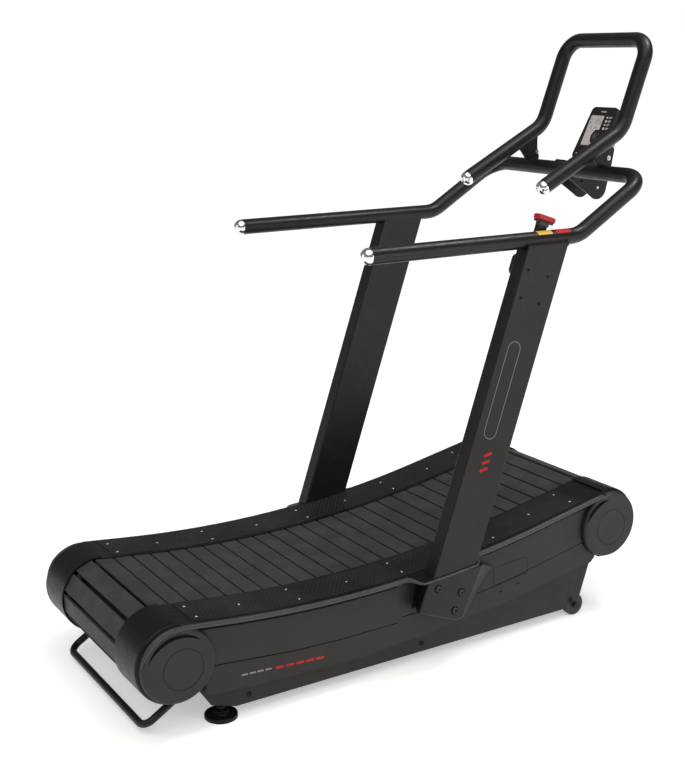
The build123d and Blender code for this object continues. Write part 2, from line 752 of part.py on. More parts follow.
with BuildPart() as upright:
    with BuildSketch(side_plane(UPRIGHT_Y[0])):
        upright_outline(0, UPRIGHT_FOOT_Z, UPRIGHT_HEAD_Z)
        with BuildLine():
            Polyline(*FOOT_CUT, (FOOT_CUT[1][0], 100), (FOOT_CUT[0][0], 100), close=True)
        make_face(mode=Mode.SUBTRACT)
    extrude(amount=UPRIGHT_Y[1] - UPRIGHT_Y[0])
    long_edges = [edge for edge in upright.edges() if edge.length > 1000]
    fillet(long_edges, 5)
    with BuildSketch(side_plane(UPRIGHT_Y[0] + UPRIGHT_WALL)):
        upright_outline(UPRIGHT_WALL, UPRIGHT_FOOT_Z - 20, UPRIGHT_HEAD_Z + 20)
    extrude(amount=UPRIGHT_Y[1] - UPRIGHT_Y[0] - 2 * UPRIGHT_WALL, mode=Mode.SUBTRACT)
    with BuildSketch(Plane.YZ):
        with Locations((-RAIL_HALF, HANDRAIL_Z)):
            Circle(TUBE_RADIUS + RUNNING_GAP)
    extrude(amount=600, mode=Mode.SUBTRACT)
    with BuildSketch(side_plane(UPRIGHT_Y[0] - 1)):
        with Locations(*UPRIGHT_BOLTS):
            Circle(BOLT_RADIUS + SLIP_GAP)
    extrude(amount=60, mode=Mode.SUBTRACT)
write_pair(upright, "upright")

# The bracket is a cap over the upright's foot. Its left wall leans in towards the chassis, and its
# right wall runs down to the side cover as a long slope. Corners go clockwise from the top left.
BRACKET_FACE = ((-56.4, 299.2), (85.3, 310), (141.2, 314), (67.4, 152), (44.4, 153.5), (-92.3, 208))
BRACKET_BASE = ((-53, 281), (90, 292), (232, 264), (162, 189), (52, 152), (-67, 199))
bracket_face_y = UPRIGHT_Y[1] + BRACKET_THICK
with BuildPart() as upright_bracket:
    for wall, face_y, mode in (
        (0, bracket_face_y, Mode.ADD),
        (BRACKET_WALL, UPRIGHT_Y[1], Mode.SUBTRACT),
    ):
        for level_y, points in ((UPRIGHT_Y[0] + 0.5, BRACKET_BASE), (face_y, BRACKET_FACE)):
            with BuildSketch(side_plane(level_y)):
                with BuildLine():
                    Polyline(*points, close=True)
                make_face()
                if wall:
                    offset(amount=-wall, kind=Kind.INTERSECTION, mode=Mode.REPLACE)
        loft(ruled=True, mode=mode)
        if not wall:
            fillet(upright_bracket.edges().group_by(Axis.Y)[0], 4)
    with BuildSketch(side_plane(UPRIGHT_Y[0])):
        upright_outline(-0.5, 120, 400)
    extrude(amount=UPRIGHT_Y[1] - UPRIGHT_Y[0] + 0.1, mode=Mode.SUBTRACT)
    with BuildSketch(side_plane(UPRIGHT_Y[0])):
        with Locations(*UPRIGHT_BOLTS):
            Circle(BOLT_RADIUS + SLIP_GAP)
    extrude(amount=60, mode=Mode.SUBTRACT)
write_pair(upright_bracket, "upright_bracket")

with BuildPart() as upright_bolts:
    for place in UPRIGHT_BOLTS:
        for start, thick, radius in ((PLATE_Y - 12, 100, BOLT_RADIUS), (bracket_face_y, 6, 11)):
            with BuildSketch(side_plane(start)):
                with Locations(place):
                    Circle(radius)
            extrude(amount=min(thick, bracket_face_y + 6 - start))
        with BuildSketch(side_plane(PLATE_Y - 10)):
            with Locations(place):
                RegularPolygon(10.5, 6)
        extrude(amount=10)
    heads = upright_bolts.edges().filter_by(GeomType.CIRCLE).group_by(Axis.Y)[0]
    fillet([edge for edge in heads if edge.radius > 10], 3)
    mirror(about=Plane.XZ)
finish_part(upright_bolts, "upright_bolts")

with BuildPart() as upright_spacers:
    with BuildSketch(side_plane(PLATE_Y + PLATE_THICK)):
        with Locations(*UPRIGHT_BOLTS):
            Circle(12)
            Circle(BOLT_RADIUS + SLIP_GAP, mode=Mode.SUBTRACT)
    extrude(amount=UPRIGHT_Y[0] - PLATE_Y - PLATE_THICK)
    mirror(about=Plane.XZ)
finish_part(upright_spacers, "upright_spacers")


# ------------------------------------------------------------------ handrail and upper handle
def bent_tube(points, radii, radius, wall):
    """Round tube along straight runs joined by bends, in a BuildPart."""
    with BuildLine() as route:
        FilletPolyline(*points, radius=radii)
    with BuildSketch(Plane(route.line @ 0, z_dir=route.line % 0)) as section:
        Circle(radius)
        Circle(radius - wall, mode=Mode.SUBTRACT)
    sweep(section.sketch, path=route.line)


def u_shape(half, *corners):
    """Points of a U across the machine: up one side, over, and back down the other."""
    right = [(x, -half, z) for x, z in corners]
    return right + [(x, half, z) for x, z in reversed(corners)]


rail_corners = ((HANDRAIL_REAR_X, HANDRAIL_Z), (HANDRAIL_BEND_X, HANDRAIL_Z), CROSS_BAR)
with BuildPart() as handrail:
    bent_tube(u_shape(RAIL_HALF, *rail_corners), RAIL_BENDS, TUBE_RADIUS, TUBE_WALL)
finish_part(handrail, "handrail")

with BuildPart() as upper_handle:
    handle_points = u_shape(HANDLE_HALF, HANDLE_END, HANDLE_BEND, HANDLE_TOP)
    bent_tube(handle_points, HANDLE_BENDS, TUBE_RADIUS, TUBE_WALL)
finish_part(upper_handle, "upper_handle")

handle_slope = degrees(atan2(HANDLE_BEND[1] - HANDLE_END[1], HANDLE_BEND[0] - HANDLE_END[0]))
SPIGOT_LENGTH = 26
with BuildPart() as end_cap:
    with BuildSketch(Plane.XZ):
        with BuildLine():
            CenterArc((0, 0), TUBE_RADIUS, 90, 90)
            Polyline((0, TUBE_RADIUS), (0, 0), (-TUBE_RADIUS, 0))
        make_face()
        with Locations((SPIGOT_LENGTH / 2, (TUBE_RADIUS - TUBE_WALL - RUNNING_GAP) / 2)):
            Rectangle(SPIGOT_LENGTH, TUBE_RADIUS - TUBE_WALL - RUNNING_GAP)
    revolve(axis=Axis.X)
with BuildPart() as tube_end_caps:
    for half in (-RAIL_HALF, RAIL_HALF):
        with Locations((HANDRAIL_REAR_X, half, HANDRAIL_Z)):
            add(end_cap.part)
    for half in (-HANDLE_HALF, HANDLE_HALF):
        with Locations(Location((HANDLE_END[0], half, HANDLE_END[1]), (0, -handle_slope, 0))):
            add(end_cap.part)
finish_part(tube_end_caps, "tube_end_caps")

# Each gusset stands between an arm of the upper handle and the cross bar, inside the arm's middle
GUSSET_Y = 176
GUSSET_THICK = 6
GUSSET_BOLT_RADIUS = 4
GUSSET_BOLT_AT = (793, 1482)
handle_rise = (HANDLE_BEND[1] - HANDLE_END[1]) / (HANDLE_BEND[0] - HANDLE_END[0])


def in_arm(x):
    """Point on the centre line of a handle arm."""
    return x, HANDLE_END[1] + (x - HANDLE_END[0]) * handle_rise


with BuildPart() as handle_gussets:
    with BuildSketch(side_plane(GUSSET_Y - GUSSET_THICK / 2)):
        with BuildLine():
            Polyline(
                in_arm(712),
                in_arm(798),
                (799, 1494),
                (808, 1462),
                (790, 1428),
                (766, 1440),
                close=True,
            )
        make_face()
        with Locations(CROSS_BAR):
            Circle(TUBE_RADIUS, mode=Mode.SUBTRACT)
        with Locations(GUSSET_BOLT_AT):
            Circle(GUSSET_BOLT_RADIUS + SLIP_GAP, mode=Mode.SUBTRACT)
    extrude(amount=GUSSET_THICK)
    arm_start = Plane(
        (HANDLE_END[0], -HANDLE_HALF, HANDLE_END[1]),
        z_dir=(cos(radians(handle_slope)), 0, sin(radians(handle_slope))),
    )
    with BuildSketch(arm_start):
        Circle(TUBE_RADIUS)
    extrude(amount=400, mode=Mode.SUBTRACT)
    mirror(about=Plane.XZ)
finish_part(handle_gussets, "handle_gussets")

with BuildPart() as gusset_bolts:
    for start, thick, radius in (
        (GUSSET_Y - 5, 16, GUSSET_BOLT_RADIUS),
        (GUSSET_Y + GUSSET_THICK / 2, 5, 8),
        (GUSSET_Y - 9, 6, 7),
    ):
        with BuildSketch(side_plane(start)):
            with Locations(GUSSET_BOLT_AT):
                Circle(radius)
        extrude(amount=thick)
    mirror(about=Plane.XZ)
finish_part(gusset_bolts, "gusset_bolts")

# ------------------------------------------------------------------ console
tilt = radians(CONSOLE_TILT)
face_out = (-sin(tilt), 0, cos(tilt))


def console_plane(depth):
    """Plane parallel to the console's face; x is the runner's right, y up the face."""
    origin = (
        CONSOLE_FOOT[0] + depth * sin(tilt),
        0,
        CONSOLE_FOOT[1] - depth * cos(tilt),
    )
    return Plane(origin, x_dir=(0, -1, 0), z_dir=face_out)


def console_outline(inset):
    """The console's outline, a trapezium with round corners, in a BuildSketch."""
    foot, top = CONSOLE_HALF_FOOT - inset, CONSOLE_HALF_TOP - inset
    with BuildLine() as outline:
        FilletPolyline(
            (-foot, inset),
            (foot, inset),
            (top, CONSOLE_LENGTH - inset),
            (-top, CONSOLE_LENGTH - inset),
            radius=16 - inset,
            close=True,
        )
    make_face(outline.edges())


def display_outline(inset):
    """Display window, with its lower corner rounded away around the dial, in a BuildSketch."""
    with Locations((-21.5, 102)):
        RectangleRounded(63 - 2 * inset, 108 - 2 * inset, 3)
    with Locations(DIAL_AT):
        Circle(DIAL_RADIUS + 5 + inset, mode=Mode.SUBTRACT)


with BuildPart() as console_housing:
    with BuildSketch(console_plane(CONSOLE_FRONT)):
        console_outline(0)
    extrude(amount=CONSOLE_FRONT)
    with BuildSketch(console_plane(CONSOLE_FRONT)):
        console_outline(2.5)
    extrude(amount=CONSOLE_FRONT - 3, mode=Mode.SUBTRACT)
    with BuildSketch(console_plane(CONSOLE_FRONT)):
        display_outline(0)
        with Locations(DIAL_AT):
            Circle(DIAL_RADIUS + 0.5)
        with Locations(*KEY_AT):
            RectangleRounded(KEY_SIZE[0] + 1, KEY_SIZE[1] + 1, 3.5)
    extrude(amount=CONSOLE_FRONT + 2, mode=Mode.SUBTRACT)
finish_part(console_housing, "console_housing")

with BuildPart() as console_back:
    with BuildSketch(console_plane(CONSOLE_FRONT + CONSOLE_BACK)):
        console_outline(0)
    extrude(amount=CONSOLE_BACK)
    fillet(console_back.faces().sort_by(Axis.X)[-1].edges(), 5)
    with BuildSketch(console_plane(CONSOLE_FRONT + CONSOLE_BACK - 3)):
        console_outline(2.5)
    extrude(amount=CONSOLE_BACK, mode=Mode.SUBTRACT)
finish_part(console_back, "console_back")

with BuildPart() as console_display:
    with BuildSketch(console_plane(5)):
        display_outline(0.3)
    extrude(amount=4)
finish_part(console_display, "console_display")

with BuildPart() as console_dial_button:
    with BuildSketch(console_plane(8)):
        with Locations(DIAL_AT):
            Circle(DIAL_RADIUS)
    extrude(amount=8 + KEY_PROUD)
    fillet(console_dial_button.edges().group_by(Axis.X)[0], 1.2)
finish_part(console_dial_button, "console_dial_button")

for name, place in zip(("console_left_key", "console_right_key"), KEY_AT):
    with BuildPart() as key:
        with BuildSketch(console_plane(8)):
            with Locations(place):
                RectangleRounded(*KEY_SIZE, 3)
        extrude(amount=8 + KEY_PROUD)
    finish_part(key, name)

back_foot = (CONSOLE_FOOT[0] + (CONSOLE_FRONT + CONSOLE_BACK + 0.5) * sin(tilt),
             CONSOLE_FOOT[1] - (CONSOLE_FRONT + CONSOLE_BACK + 0.5) * cos(tilt))


def on_back(along, away):
    """Point along the console's back, and away from it."""
    return (back_foot[0] + along * cos(tilt) + away * sin(tilt),
            back_foot[1] + along * sin(tilt) - away * cos(tilt))


EAR_FOOT = (882, 1371)
EAR_BOLT = (813, 1397)
EAR_RADIUS = 39
with BuildPart() as console_bracket:
    for start in (BRACKET_HALF - 2, -BRACKET_HALF - 2):
        with BuildSketch(side_plane(start)) as ear:
            with BuildLine():
                Polyline(
                    (752, 1445),
                    (754, 1409),
                    (857, 1341.5),
                    EAR_FOOT,
                    (920.5, 1365),
                    (940, 1436),
                    (951, 1492),
                    (944, 1514),
                    on_back(78, 0),
                    on_back(0, 0),
                    (862, 1450),
                    (800, 1462),
                    (770, 1466),
                    close=True,
                )
            make_face()
            with Locations(EAR_FOOT):
                Circle(EAR_RADIUS)
            with Locations(CROSS_BAR):
                Circle(TUBE_RADIUS, mode=Mode.SUBTRACT)
            with Locations(EAR_FOOT, EAR_BOLT):
                Circle(4.5, mode=Mode.SUBTRACT)
        extrude(amount=4)
    with BuildSketch(side_plane(-BRACKET_HALF)):
        with BuildLine():
            Polyline(on_back(2, 0), on_back(138, 0), on_back(138, 3), on_back(2, 3), close=True)
        make_face()
    extrude(amount=2 * BRACKET_HALF)
finish_part(console_bracket, "console_bracket")


# ------------------------------------------------------------------ brake lever
def lever_plane(y):
    """Plane through the lever's pivot; y runs up the upright's lean."""
    return Plane(
        (LEVER_PIVOT[0], -y, LEVER_PIVOT[1]),
        x_dir=(cos(radians(LEAN)), 0, -sin(radians(LEAN))),
        z_dir=(0, -1, 0),
    )


with BuildPart() as lever_housing:
    with BuildSketch(lever_plane(323)):
        with Locations((0, -6)):
            RectangleRounded(104, 84, 10)
    extrude(amount=UPRIGHT_Y[0] - 323)
    with BuildSketch(lever_plane(326)):
        with Locations((0, 2)):
            Rectangle(72, 74)
    extrude(amount=21, mode=Mode.SUBTRACT)
    with BuildSketch(lever_plane(324)):
        Circle(5)
    extrude(amount=25)
finish_part(lever_housing, "lever_housing")

with BuildPart() as lever_arm:
    with BuildSketch(lever_plane(LEVER_Y[0])):
        Circle(LEVER_WIDTH / 2)
        with Locations((0, 61)):
            Rectangle(LEVER_WIDTH, 122)
        Circle(5 + RUNNING_GAP, mode=Mode.SUBTRACT)
    extrude(amount=LEVER_Y[1] - LEVER_Y[0])
finish_part(lever_arm, "lever_arm")

with BuildPart() as lever_knob:
    with BuildSketch(lever_plane(KNOB_Y[0])):
        with Locations((10, 130.5)):
            RectangleRounded(*KNOB_SIZE, 6)
    extrude(amount=KNOB_Y[1] - KNOB_Y[0])
    fillet(lever_knob.edges().group_by(Axis.Y)[0] + lever_knob.edges().group_by(Axis.Y)[-1], 4)
finish_part(lever_knob, "lever_knob")

# ------------------------------------------------------------------ ground contact
with BuildPart() as lift_bar:
    bent_tube(u_shape(LIFT_HALF, LIFT_END, LIFT_BAR), [32, 32], LIFT_RADIUS, 2)
    for half in (LIFT_HALF, -PLATE_Y):
        with BuildSketch(side_plane(half)):
            with Locations(LIFT_END):
                Rectangle(30, 22)
        extrude(amount=PLATE_Y - LIFT_HALF)
    for start in (LIFT_HALF - 10, -LIFT_HALF - 10):
        with BuildSketch(side_plane(start)):
            with Locations(LIFT_END):
                Rectangle(30, 22)
        extrude(amount=20)
finish_part(lift_bar, "lift_bar")

for side, sign in (("right", -1), ("left", 1)):
    with BuildPart() as foot_pad:
        with BuildSketch(Plane.XY):
            with Locations((FOOT_AT[0], sign * FOOT_AT[1])):
                Circle(FOOT_RADIUS)
        extrude(amount=12)
        with BuildSketch(Plane.XY.offset(12)):
            with Locations((FOOT_AT[0], sign * FOOT_AT[1])):
                Circle(22)
        extrude(amount=12)
        fillet(foot_pad.edges().filter_by(GeomType.CIRCLE).group_by(Axis.Z)[1], 4)
        with BuildSketch(Plane.XY.offset(8)):
            with Locations((FOOT_AT[0], sign * FOOT_AT[1])):
                Circle(STUD_RADIUS)
        extrude(amount=30, mode=Mode.SUBTRACT)
    finish_part(foot_pad, f"{side}_foot_pad")
    with BuildPart() as foot_stud:
        with BuildSketch(Plane.XY.offset(8)):
            with Locations((FOOT_AT[0], sign * FOOT_AT[1])):
                Circle(STUD_RADIUS)
        extrude(amount=90)
    finish_part(foot_stud, f"{side}_foot_stud")

with BuildPart() as wheel:
    with BuildSketch(side_plane(WHEEL_Y[0])):
        with Locations(WHEEL_AT):
            Circle(WHEEL_RADIUS)
            Circle(WHEEL_BORE + RUNNING_GAP, mode=Mode.SUBTRACT)
    extrude(amount=WHEEL_Y[1] - WHEEL_Y[0])
    rims = wheel.edges().filter_by(GeomType.CIRCLE).sort_by(SortBy.RADIUS)[-2:]
    fillet(rims, 3)
write_pair(wheel, "wheel")

with BuildPart() as wheel_axles:
    for start, thick, radius in (
        (WHEEL_Y[0] - 8, PLATE_Y + PLATE_THICK + 4 - WHEEL_Y[0] + 8, WHEEL_BORE),
        (PLATE_Y + PLATE_THICK, 4, 11),
        (WHEEL_Y[0] - 8, 6, 10),
    ):
        with BuildSketch(side_plane(start)):
            with Locations(WHEEL_AT):
                Circle(radius)
        extrude(amount=thick)
    mirror(about=Plane.XZ)
finish_part(wheel_axles, "wheel_axles")
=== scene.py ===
import json
from math import cos, pi, radians, sin

import bmesh
import bpy
from mathutils import Matrix, Vector
from mathutils.bvhtree import BVHTree


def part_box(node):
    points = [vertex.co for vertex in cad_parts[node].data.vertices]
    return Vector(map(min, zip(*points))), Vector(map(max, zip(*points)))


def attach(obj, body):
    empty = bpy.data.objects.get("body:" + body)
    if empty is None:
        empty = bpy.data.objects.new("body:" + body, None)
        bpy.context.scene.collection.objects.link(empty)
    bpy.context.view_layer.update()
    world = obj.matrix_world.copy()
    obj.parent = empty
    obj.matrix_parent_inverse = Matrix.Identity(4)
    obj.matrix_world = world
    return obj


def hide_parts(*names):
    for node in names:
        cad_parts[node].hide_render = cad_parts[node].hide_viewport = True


# Curved manual treadmill, in metres, on the CAD frame: +X the way the runner faces,
# +Y the runner's left, +Z up, floor at z = 0.
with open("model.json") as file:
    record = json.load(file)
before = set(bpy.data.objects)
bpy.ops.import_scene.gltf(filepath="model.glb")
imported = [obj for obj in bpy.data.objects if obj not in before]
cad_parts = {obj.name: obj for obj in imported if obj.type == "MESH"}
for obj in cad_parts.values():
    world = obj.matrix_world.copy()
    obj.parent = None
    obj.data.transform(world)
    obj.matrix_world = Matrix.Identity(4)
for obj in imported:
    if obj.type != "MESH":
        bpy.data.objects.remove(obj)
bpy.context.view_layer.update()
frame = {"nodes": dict(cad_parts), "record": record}  # frame["bodies"], ["nodes"], ["joints"], ["record"]
nodes = frame["nodes"]

MM = 0.001
LIGHT_TINT = (1.0, 0.975, 0.92)
RIGHT, LEFT = -1, 1  # the sign of y on each side of the machine
HAIR = 0.2 * MM  # how far a printed mark stands off its surface


# ---------------------------------------------------------------- materials
def add(tree, kind, inputs=None, **settings):
    """A shader node, with sockets linked or set."""
    node = tree.nodes.new("ShaderNode" + kind)
    for key, value in settings.items():
        setattr(node, key, value)
    for key, value in (inputs or {}).items():
        if isinstance(value, bpy.types.NodeSocket):
            tree.links.new(value, node.inputs[key])
        else:
            node.inputs[key].default_value = value
    return node


def spread(tree, value, low, high, start=0.35, stop=0.65):
    """A socket that runs from low to high as value runs from start to stop."""
    inputs = {"Value": value, "From Min": start, "From Max": stop, "To Min": low, "To Max": high}
    return add(tree, "MapRange", inputs).outputs["Result"]


def noise(tree, place, scale, detail=2.0, stretch=(1, 1, 1)):
    """Cloudy noise over the object's own space. stretch above 1 squeezes it along an axis."""
    at = add(tree, "Mapping", {"Vector": place, "Scale": stretch}).outputs["Vector"]
    return add(tree, "TexNoise", {"Vector": at, "Scale": scale, "Detail": detail}).outputs["Fac"]


def finish(name, dark, light, rough, **look):
    """A finish of two close tones in soft blotches, with fine grain in its relief and sheen.

    look: blotch and grain are scales per metre, relief the grain's depth, stretch the grain's
    direction, spec, metal, coat and coat_rough the shader's own values.
    """
    material = bpy.data.materials.new(name)
    material.use_nodes = True
    tree = material.node_tree
    shader = tree.nodes["Principled BSDF"]
    place = add(tree, "TexCoord").outputs["Object"]
    blotches = noise(tree, place, look.get("blotch", 7), 4.0)
    grain = noise(tree, place, look.get("grain", 900), 2.0, look.get("stretch", (1, 1, 1)))
    mix = {"Factor": spread(tree, blotches, 0.0, 1.0), "A": (*dark, 1), "B": (*light, 1)}
    tones = add(tree, "Mix", mix, data_type="RGBA")
    speckle = spread(tree, grain, 1 - look.get("speckle", 0.1), 1 + look.get("speckle", 0.1))
    toned = add(tree, "VectorMath", {0: tones.outputs[2], "Scale": speckle}, operation="SCALE")
    tree.links.new(toned.outputs["Vector"], shader.inputs["Base Color"])
    wide = spread(tree, noise(tree, place, 45, 3.0), rough - 0.05, rough + 0.05)
    fine = add(tree, "Math", {0: wide, 1: spread(tree, grain, -0.04, 0.04)}, operation="ADD")
    tree.links.new(fine.outputs["Value"], shader.inputs["Roughness"])
    depth = look.get("relief", 0.05) * MM
    bump = add(tree, "Bump", {"Height": grain, "Strength": 1.0, "Distance": depth})
    tree.links.new(bump.outputs["Normal"], shader.inputs["Normal"])
    shader.inputs["Specular IOR Level"].default_value = look.get("spec", 0.4)
    shader.inputs["Metallic"].default_value = look.get("metal", 0.0)
    shader.inputs["Coat Weight"].default_value = look.get("coat", 0.0)
    shader.inputs["Coat Roughness"].default_value = look.get("coat_rough", 0.1)
    return material


def grey(value, warm=1.0):
    """A near-neutral tone. warm above 1 leans to brown."""
    return value * warm, value, value / warm**0.4


SURFACES = {
    "powder_coat": (grey(0.006, 1.15), grey(0.009, 1.2), 0.36,
                    dict(grain=1100, relief=0.05, spec=0.28)),
    "chassis_paint": (grey(0.013, 1.06), grey(0.017, 1.1), 0.5,
                      dict(grain=800, relief=0.08, spec=0.26)),
    "slat_rubber": (grey(0.034, 1.05), grey(0.046, 1.08), 0.62,
                    dict(blotch=14, grain=520, relief=0.16, speckle=0.3, spec=0.25)),
    "carrier_rubber": (grey(0.018), grey(0.026), 0.7, dict(grain=600, relief=0.1, spec=0.3)),
    "trim_plastic": (grey(0.005, 1.12), grey(0.007, 1.16), 0.38,
                     dict(grain=1400, relief=0.04, spec=0.16)),
    "grip_rubber": (grey(0.007, 1.03), grey(0.016, 1.06), 0.5,
                    dict(grain=700, relief=0.12, speckle=0.35, spec=0.26)),
    "cover_plastic": (grey(0.0155, 1.12), grey(0.019, 1.16), 0.44,
                      dict(grain=1300, relief=0.05, spec=0.26)),
    "disc_plastic": (grey(0.017, 1.1), grey(0.021, 1.14), 0.47,
                     dict(grain=1300, relief=0.06, spec=0.27)),
    "steel": (grey(0.42), grey(0.55), 0.3,
              dict(metal=1.0, grain=60, stretch=(1, 14, 14), relief=0.02)),
    "zinc": (grey(0.6), grey(0.72), 0.26, dict(metal=1.0, blotch=120, grain=500, relief=0.02)),
    "chrome_cap": (grey(0.78), grey(0.84), 0.08,
                   dict(metal=1.0, grain=40, relief=0.005, speckle=0.02)),
    "black_bolt": (grey(0.012), grey(0.02), 0.34, dict(metal=0.6, grain=900, relief=0.03)),
    "aluminium": (grey(0.5), grey(0.62), 0.33,
                  dict(metal=1.0, grain=50, stretch=(14, 1, 14), relief=0.03)),
    "console_plastic": (grey(0.01), grey(0.015), 0.36, dict(grain=1800, relief=0.04, spec=0.4)),
    "display_glass": ((0.56, 0.51, 0.505), (0.62, 0.57, 0.565), 0.3,
                      dict(blotch=20, grain=1500, relief=0.01, speckle=0.03, coat=0.8, coat_rough=0.05)),
    "button_plastic": (grey(0.008), grey(0.012), 0.22, dict(grain=900, relief=0.02, coat=0.3)),
    "knob_red": ((0.38, 0.008, 0.016), (0.45, 0.012, 0.022), 0.35,
                 dict(grain=900, relief=0.03, speckle=0.05)),
    "wheel_rubber": (grey(0.014), grey(0.022), 0.5, dict(grain=700, relief=0.08)),
    "foot_rubber": (grey(0.004), grey(0.007), 0.5, dict(grain=600, relief=0.1, spec=0.2)),
    # White for the console's printed icons and for the painted highlight crescent beside the dial
    "white_print_and_glint": (grey(0.62), grey(0.7), 0.45, dict(grain=800, relief=0.01, speckle=0.04)),
    "mark_grey": (grey(0.17), grey(0.21), 0.45, dict(grain=800, relief=0.01, speckle=0.06)),
    "mark_red": ((0.4, 0.008, 0.014), (0.47, 0.011, 0.018), 0.5,
                 dict(grain=800, relief=0.01, speckle=0.05, spec=0.2)),
    "mark_yellow": ((0.55, 0.36, 0.02), (0.62, 0.41, 0.03), 0.4,
                    dict(grain=800, relief=0.01, speckle=0.05)),
    "mark_black": (grey(0.004), grey(0.007), 0.5, dict(grain=800, relief=0.01, spec=0.15)),
    # Lighter than the trim plastic: partly the bead's own grey, partly a painted highlight along the
    # trim's rounded edge
    "bead_plastic_and_highlight": (grey(0.026), grey(0.034), 0.4, dict(grain=1300, relief=0.02, spec=0.45)),
    "bolt_paint": (grey(0.016), grey(0.024), 0.4, dict(grain=900, relief=0.03)),
    # Near-black for painted shade: strips, rings and discs that stand for shadow in gaps, recesses and
    # holes
    "shadow_gap": (grey(0.004), grey(0.006), 0.8, dict(grain=500, relief=0.02, spec=0.1)),
}
LOOKS = {name: finish(f"{name}_look", dark, light, rough, **look)
         for name, (dark, light, rough, look) in SURFACES.items()}

for part in frame["record"]["subparts"]:
    mesh = nodes[part["node"]].data
    for index in range(len(mesh.materials)):
        mesh.materials[index] = LOOKS[part["material_slot"]]


# ---------------------------------------------------------------- building pieces
def piece(name, shape, look, body="frame", crease=40, bevel=0.0):
    """Turn a bmesh into a named piece that rides on a body."""
    mesh = bpy.data.meshes.new(name)
    bmesh.ops.recalc_face_normals(shape, faces=shape.faces)
    shape.to_mesh(mesh)
    shape.free()
    mesh.materials.append(LOOKS[look])
    mesh.shade_smooth()
    mesh.set_sharp_from_angle(angle=radians(crease))
    made = bpy.data.objects.new(name, mesh)
    bpy.context.scene.collection.objects.link(made)
    if bevel:
        soften = made.modifiers.new("bevel", "BEVEL")
        soften.width = bevel
        soften.segments = 2
        soften.limit_method = "ANGLE"
    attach(made, body)
    return made


def axes(origin, across, up):
    """Local frame: x across, y up, z out of the surface."""
    x, y = Vector(across).normalized(), Vector(up).normalized()
    return Matrix.Translation(Vector(origin)) @ Matrix((x, y, x.cross(y))).transposed().to_4x4()


def bridge(shape, rings):
    """Faces between each ring of vertices and the next. A ring may repeat one vertex."""
    for a, b in zip(rings, rings[1:]):
        for i in range(len(a)):
            j = (i + 1) % len(a)
            shape.faces.new(list(dict.fromkeys((a[i], a[j], b[j], b[i]))))


def level(shape, place, outline, height):
    """Vertices at local (x, y) points, all at one height."""
    return [shape.verts.new(place @ Vector((x, y, height))) for x, y in outline]


def circle(radius, steps):
    """Points around a circle."""
    turns = [2 * pi * k / steps for k in range(steps)]
    return [(radius * cos(t), radius * sin(t)) for t in turns]


def plate(shape, place, outline, low, high):
    """A flat prism over an outline of local (x, y) points, between two heights."""
    rings = [level(shape, place, outline, height) for height in (low, high)]
    shape.faces.new(rings[0][::-1])
    shape.faces.new(rings[1])
    bridge(shape, rings)


def ribbon(shape, place, outer, inner, low, high):
    """A closed band between two outlines of the same number of points."""
    rings = [level(shape, place, outline, height)
             for outline, height in ((outer, low), (outer, high), (inner, high), (inner, low))]
    bridge(shape, rings + rings[:1])


def lathe(shape, place, profile, steps=32):
    """A profile of (radius, height) points turned about the local z axis. Radius 0 is a point."""
    rings = []
    for radius, height in profile:
        if radius == 0:
            rings.append(level(shape, place, [(0, 0)], height) * steps)
        else:
            rings.append(level(shape, place, circle(radius, steps), height))
    bridge(shape, rings)


def round_box(width, height, radius, steps=6):
    """Outline of a rectangle with round corners, about its middle."""
    points = []
    for quarter in range(4):
        cx = (width / 2 - radius) * (1 if quarter in (0, 3) else -1)
        cy = (height / 2 - radius) * (1 if quarter in (0, 1) else -1)
        for k in range(steps + 1):
            turn = pi / 2 * (quarter + k / steps)
            points.append((cx + radius * cos(turn), cy + radius * sin(turn)))
    return points


def moved(outline, x, y):
    """An outline shifted in its own plane."""
    return [(px + x, py + y) for px, py in outline]


def socket_head(shape, place, radius, height, recess, depth, steps=24):
    """Round screw head with a chamfered rim and a recess of the given outline."""
    chamfer, wall = 0.82, 0.55  # shares of the radius and of the height
    levels = ((radius, 0.0), (radius, height * wall), (radius * chamfer, height))
    rings = [level(shape, place, circle(r, steps), z) for r, z in levels]
    bridge(shape, rings)
    shape.faces.new(rings[0][::-1])
    mouth = level(shape, place, recess, height)
    floor = level(shape, place, recess, height - depth)
    count = len(recess)
    mouth_edges = [shape.edges.new((mouth[i], mouth[(i + 1) % count])) for i in range(count)]
    bridge(shape, (mouth, floor))
    shape.faces.new(floor)
    rim_edges = [shape.edges.get((rings[-1][i], rings[-1][(i + 1) % steps])) for i in range(steps)]
    bmesh.ops.triangle_fill(shape, use_beauty=True, edges=rim_edges + mouth_edges)


def strip(shape, sections):
    """A solid through a row of cross-sections that all have the same number of points."""
    rings = [[shape.verts.new(Vector(p)) for p in section] for section in sections]
    shape.faces.new(rings[0])
    shape.faces.new(rings[-1][::-1])
    bridge(shape, rings)


def tube(shape, points, radii, steps=12):
    """A round bar through points that run mostly in the XZ plane, with a radius at each."""
    sections = []
    for i, point in enumerate(points):
        ahead = (points[min(i + 1, len(points) - 1)] - points[max(i - 1, 0)]).normalized()
        side = Vector((0, 1, 0))
        side = (side - ahead * side.dot(ahead)).normalized()
        up = ahead.cross(side)
        sections.append([point + side * x + up * y for x, y in circle(radii[i], steps)])
    strip(shape, sections)


def hexagon(across_flats):
    """Outline of a hexagonal recess or nut."""
    radius = across_flats / 2 / cos(pi / 6)
    return [(radius * cos(pi / 3 * k), radius * sin(pi / 3 * k)) for k in range(6)]


def cross_recess(reach, half):
    """Outline of a cross recess: four slots of half-width half and length reach."""
    points = []
    for quarter in range(4):
        c, s = cos(pi / 2 * quarter), sin(pi / 2 * quarter)
        for x, y in ((reach, -half), (reach, half), (half, half)):
            points.append((x * c - y * s, x * s + y * c))
    return points


def outward(side, x, depth, z):
    """Local frame on one side of the machine, at a distance from the middle plane: z points out."""
    return axes((x, side * depth, z), (-side, 0, 0), (0, 0, 1))


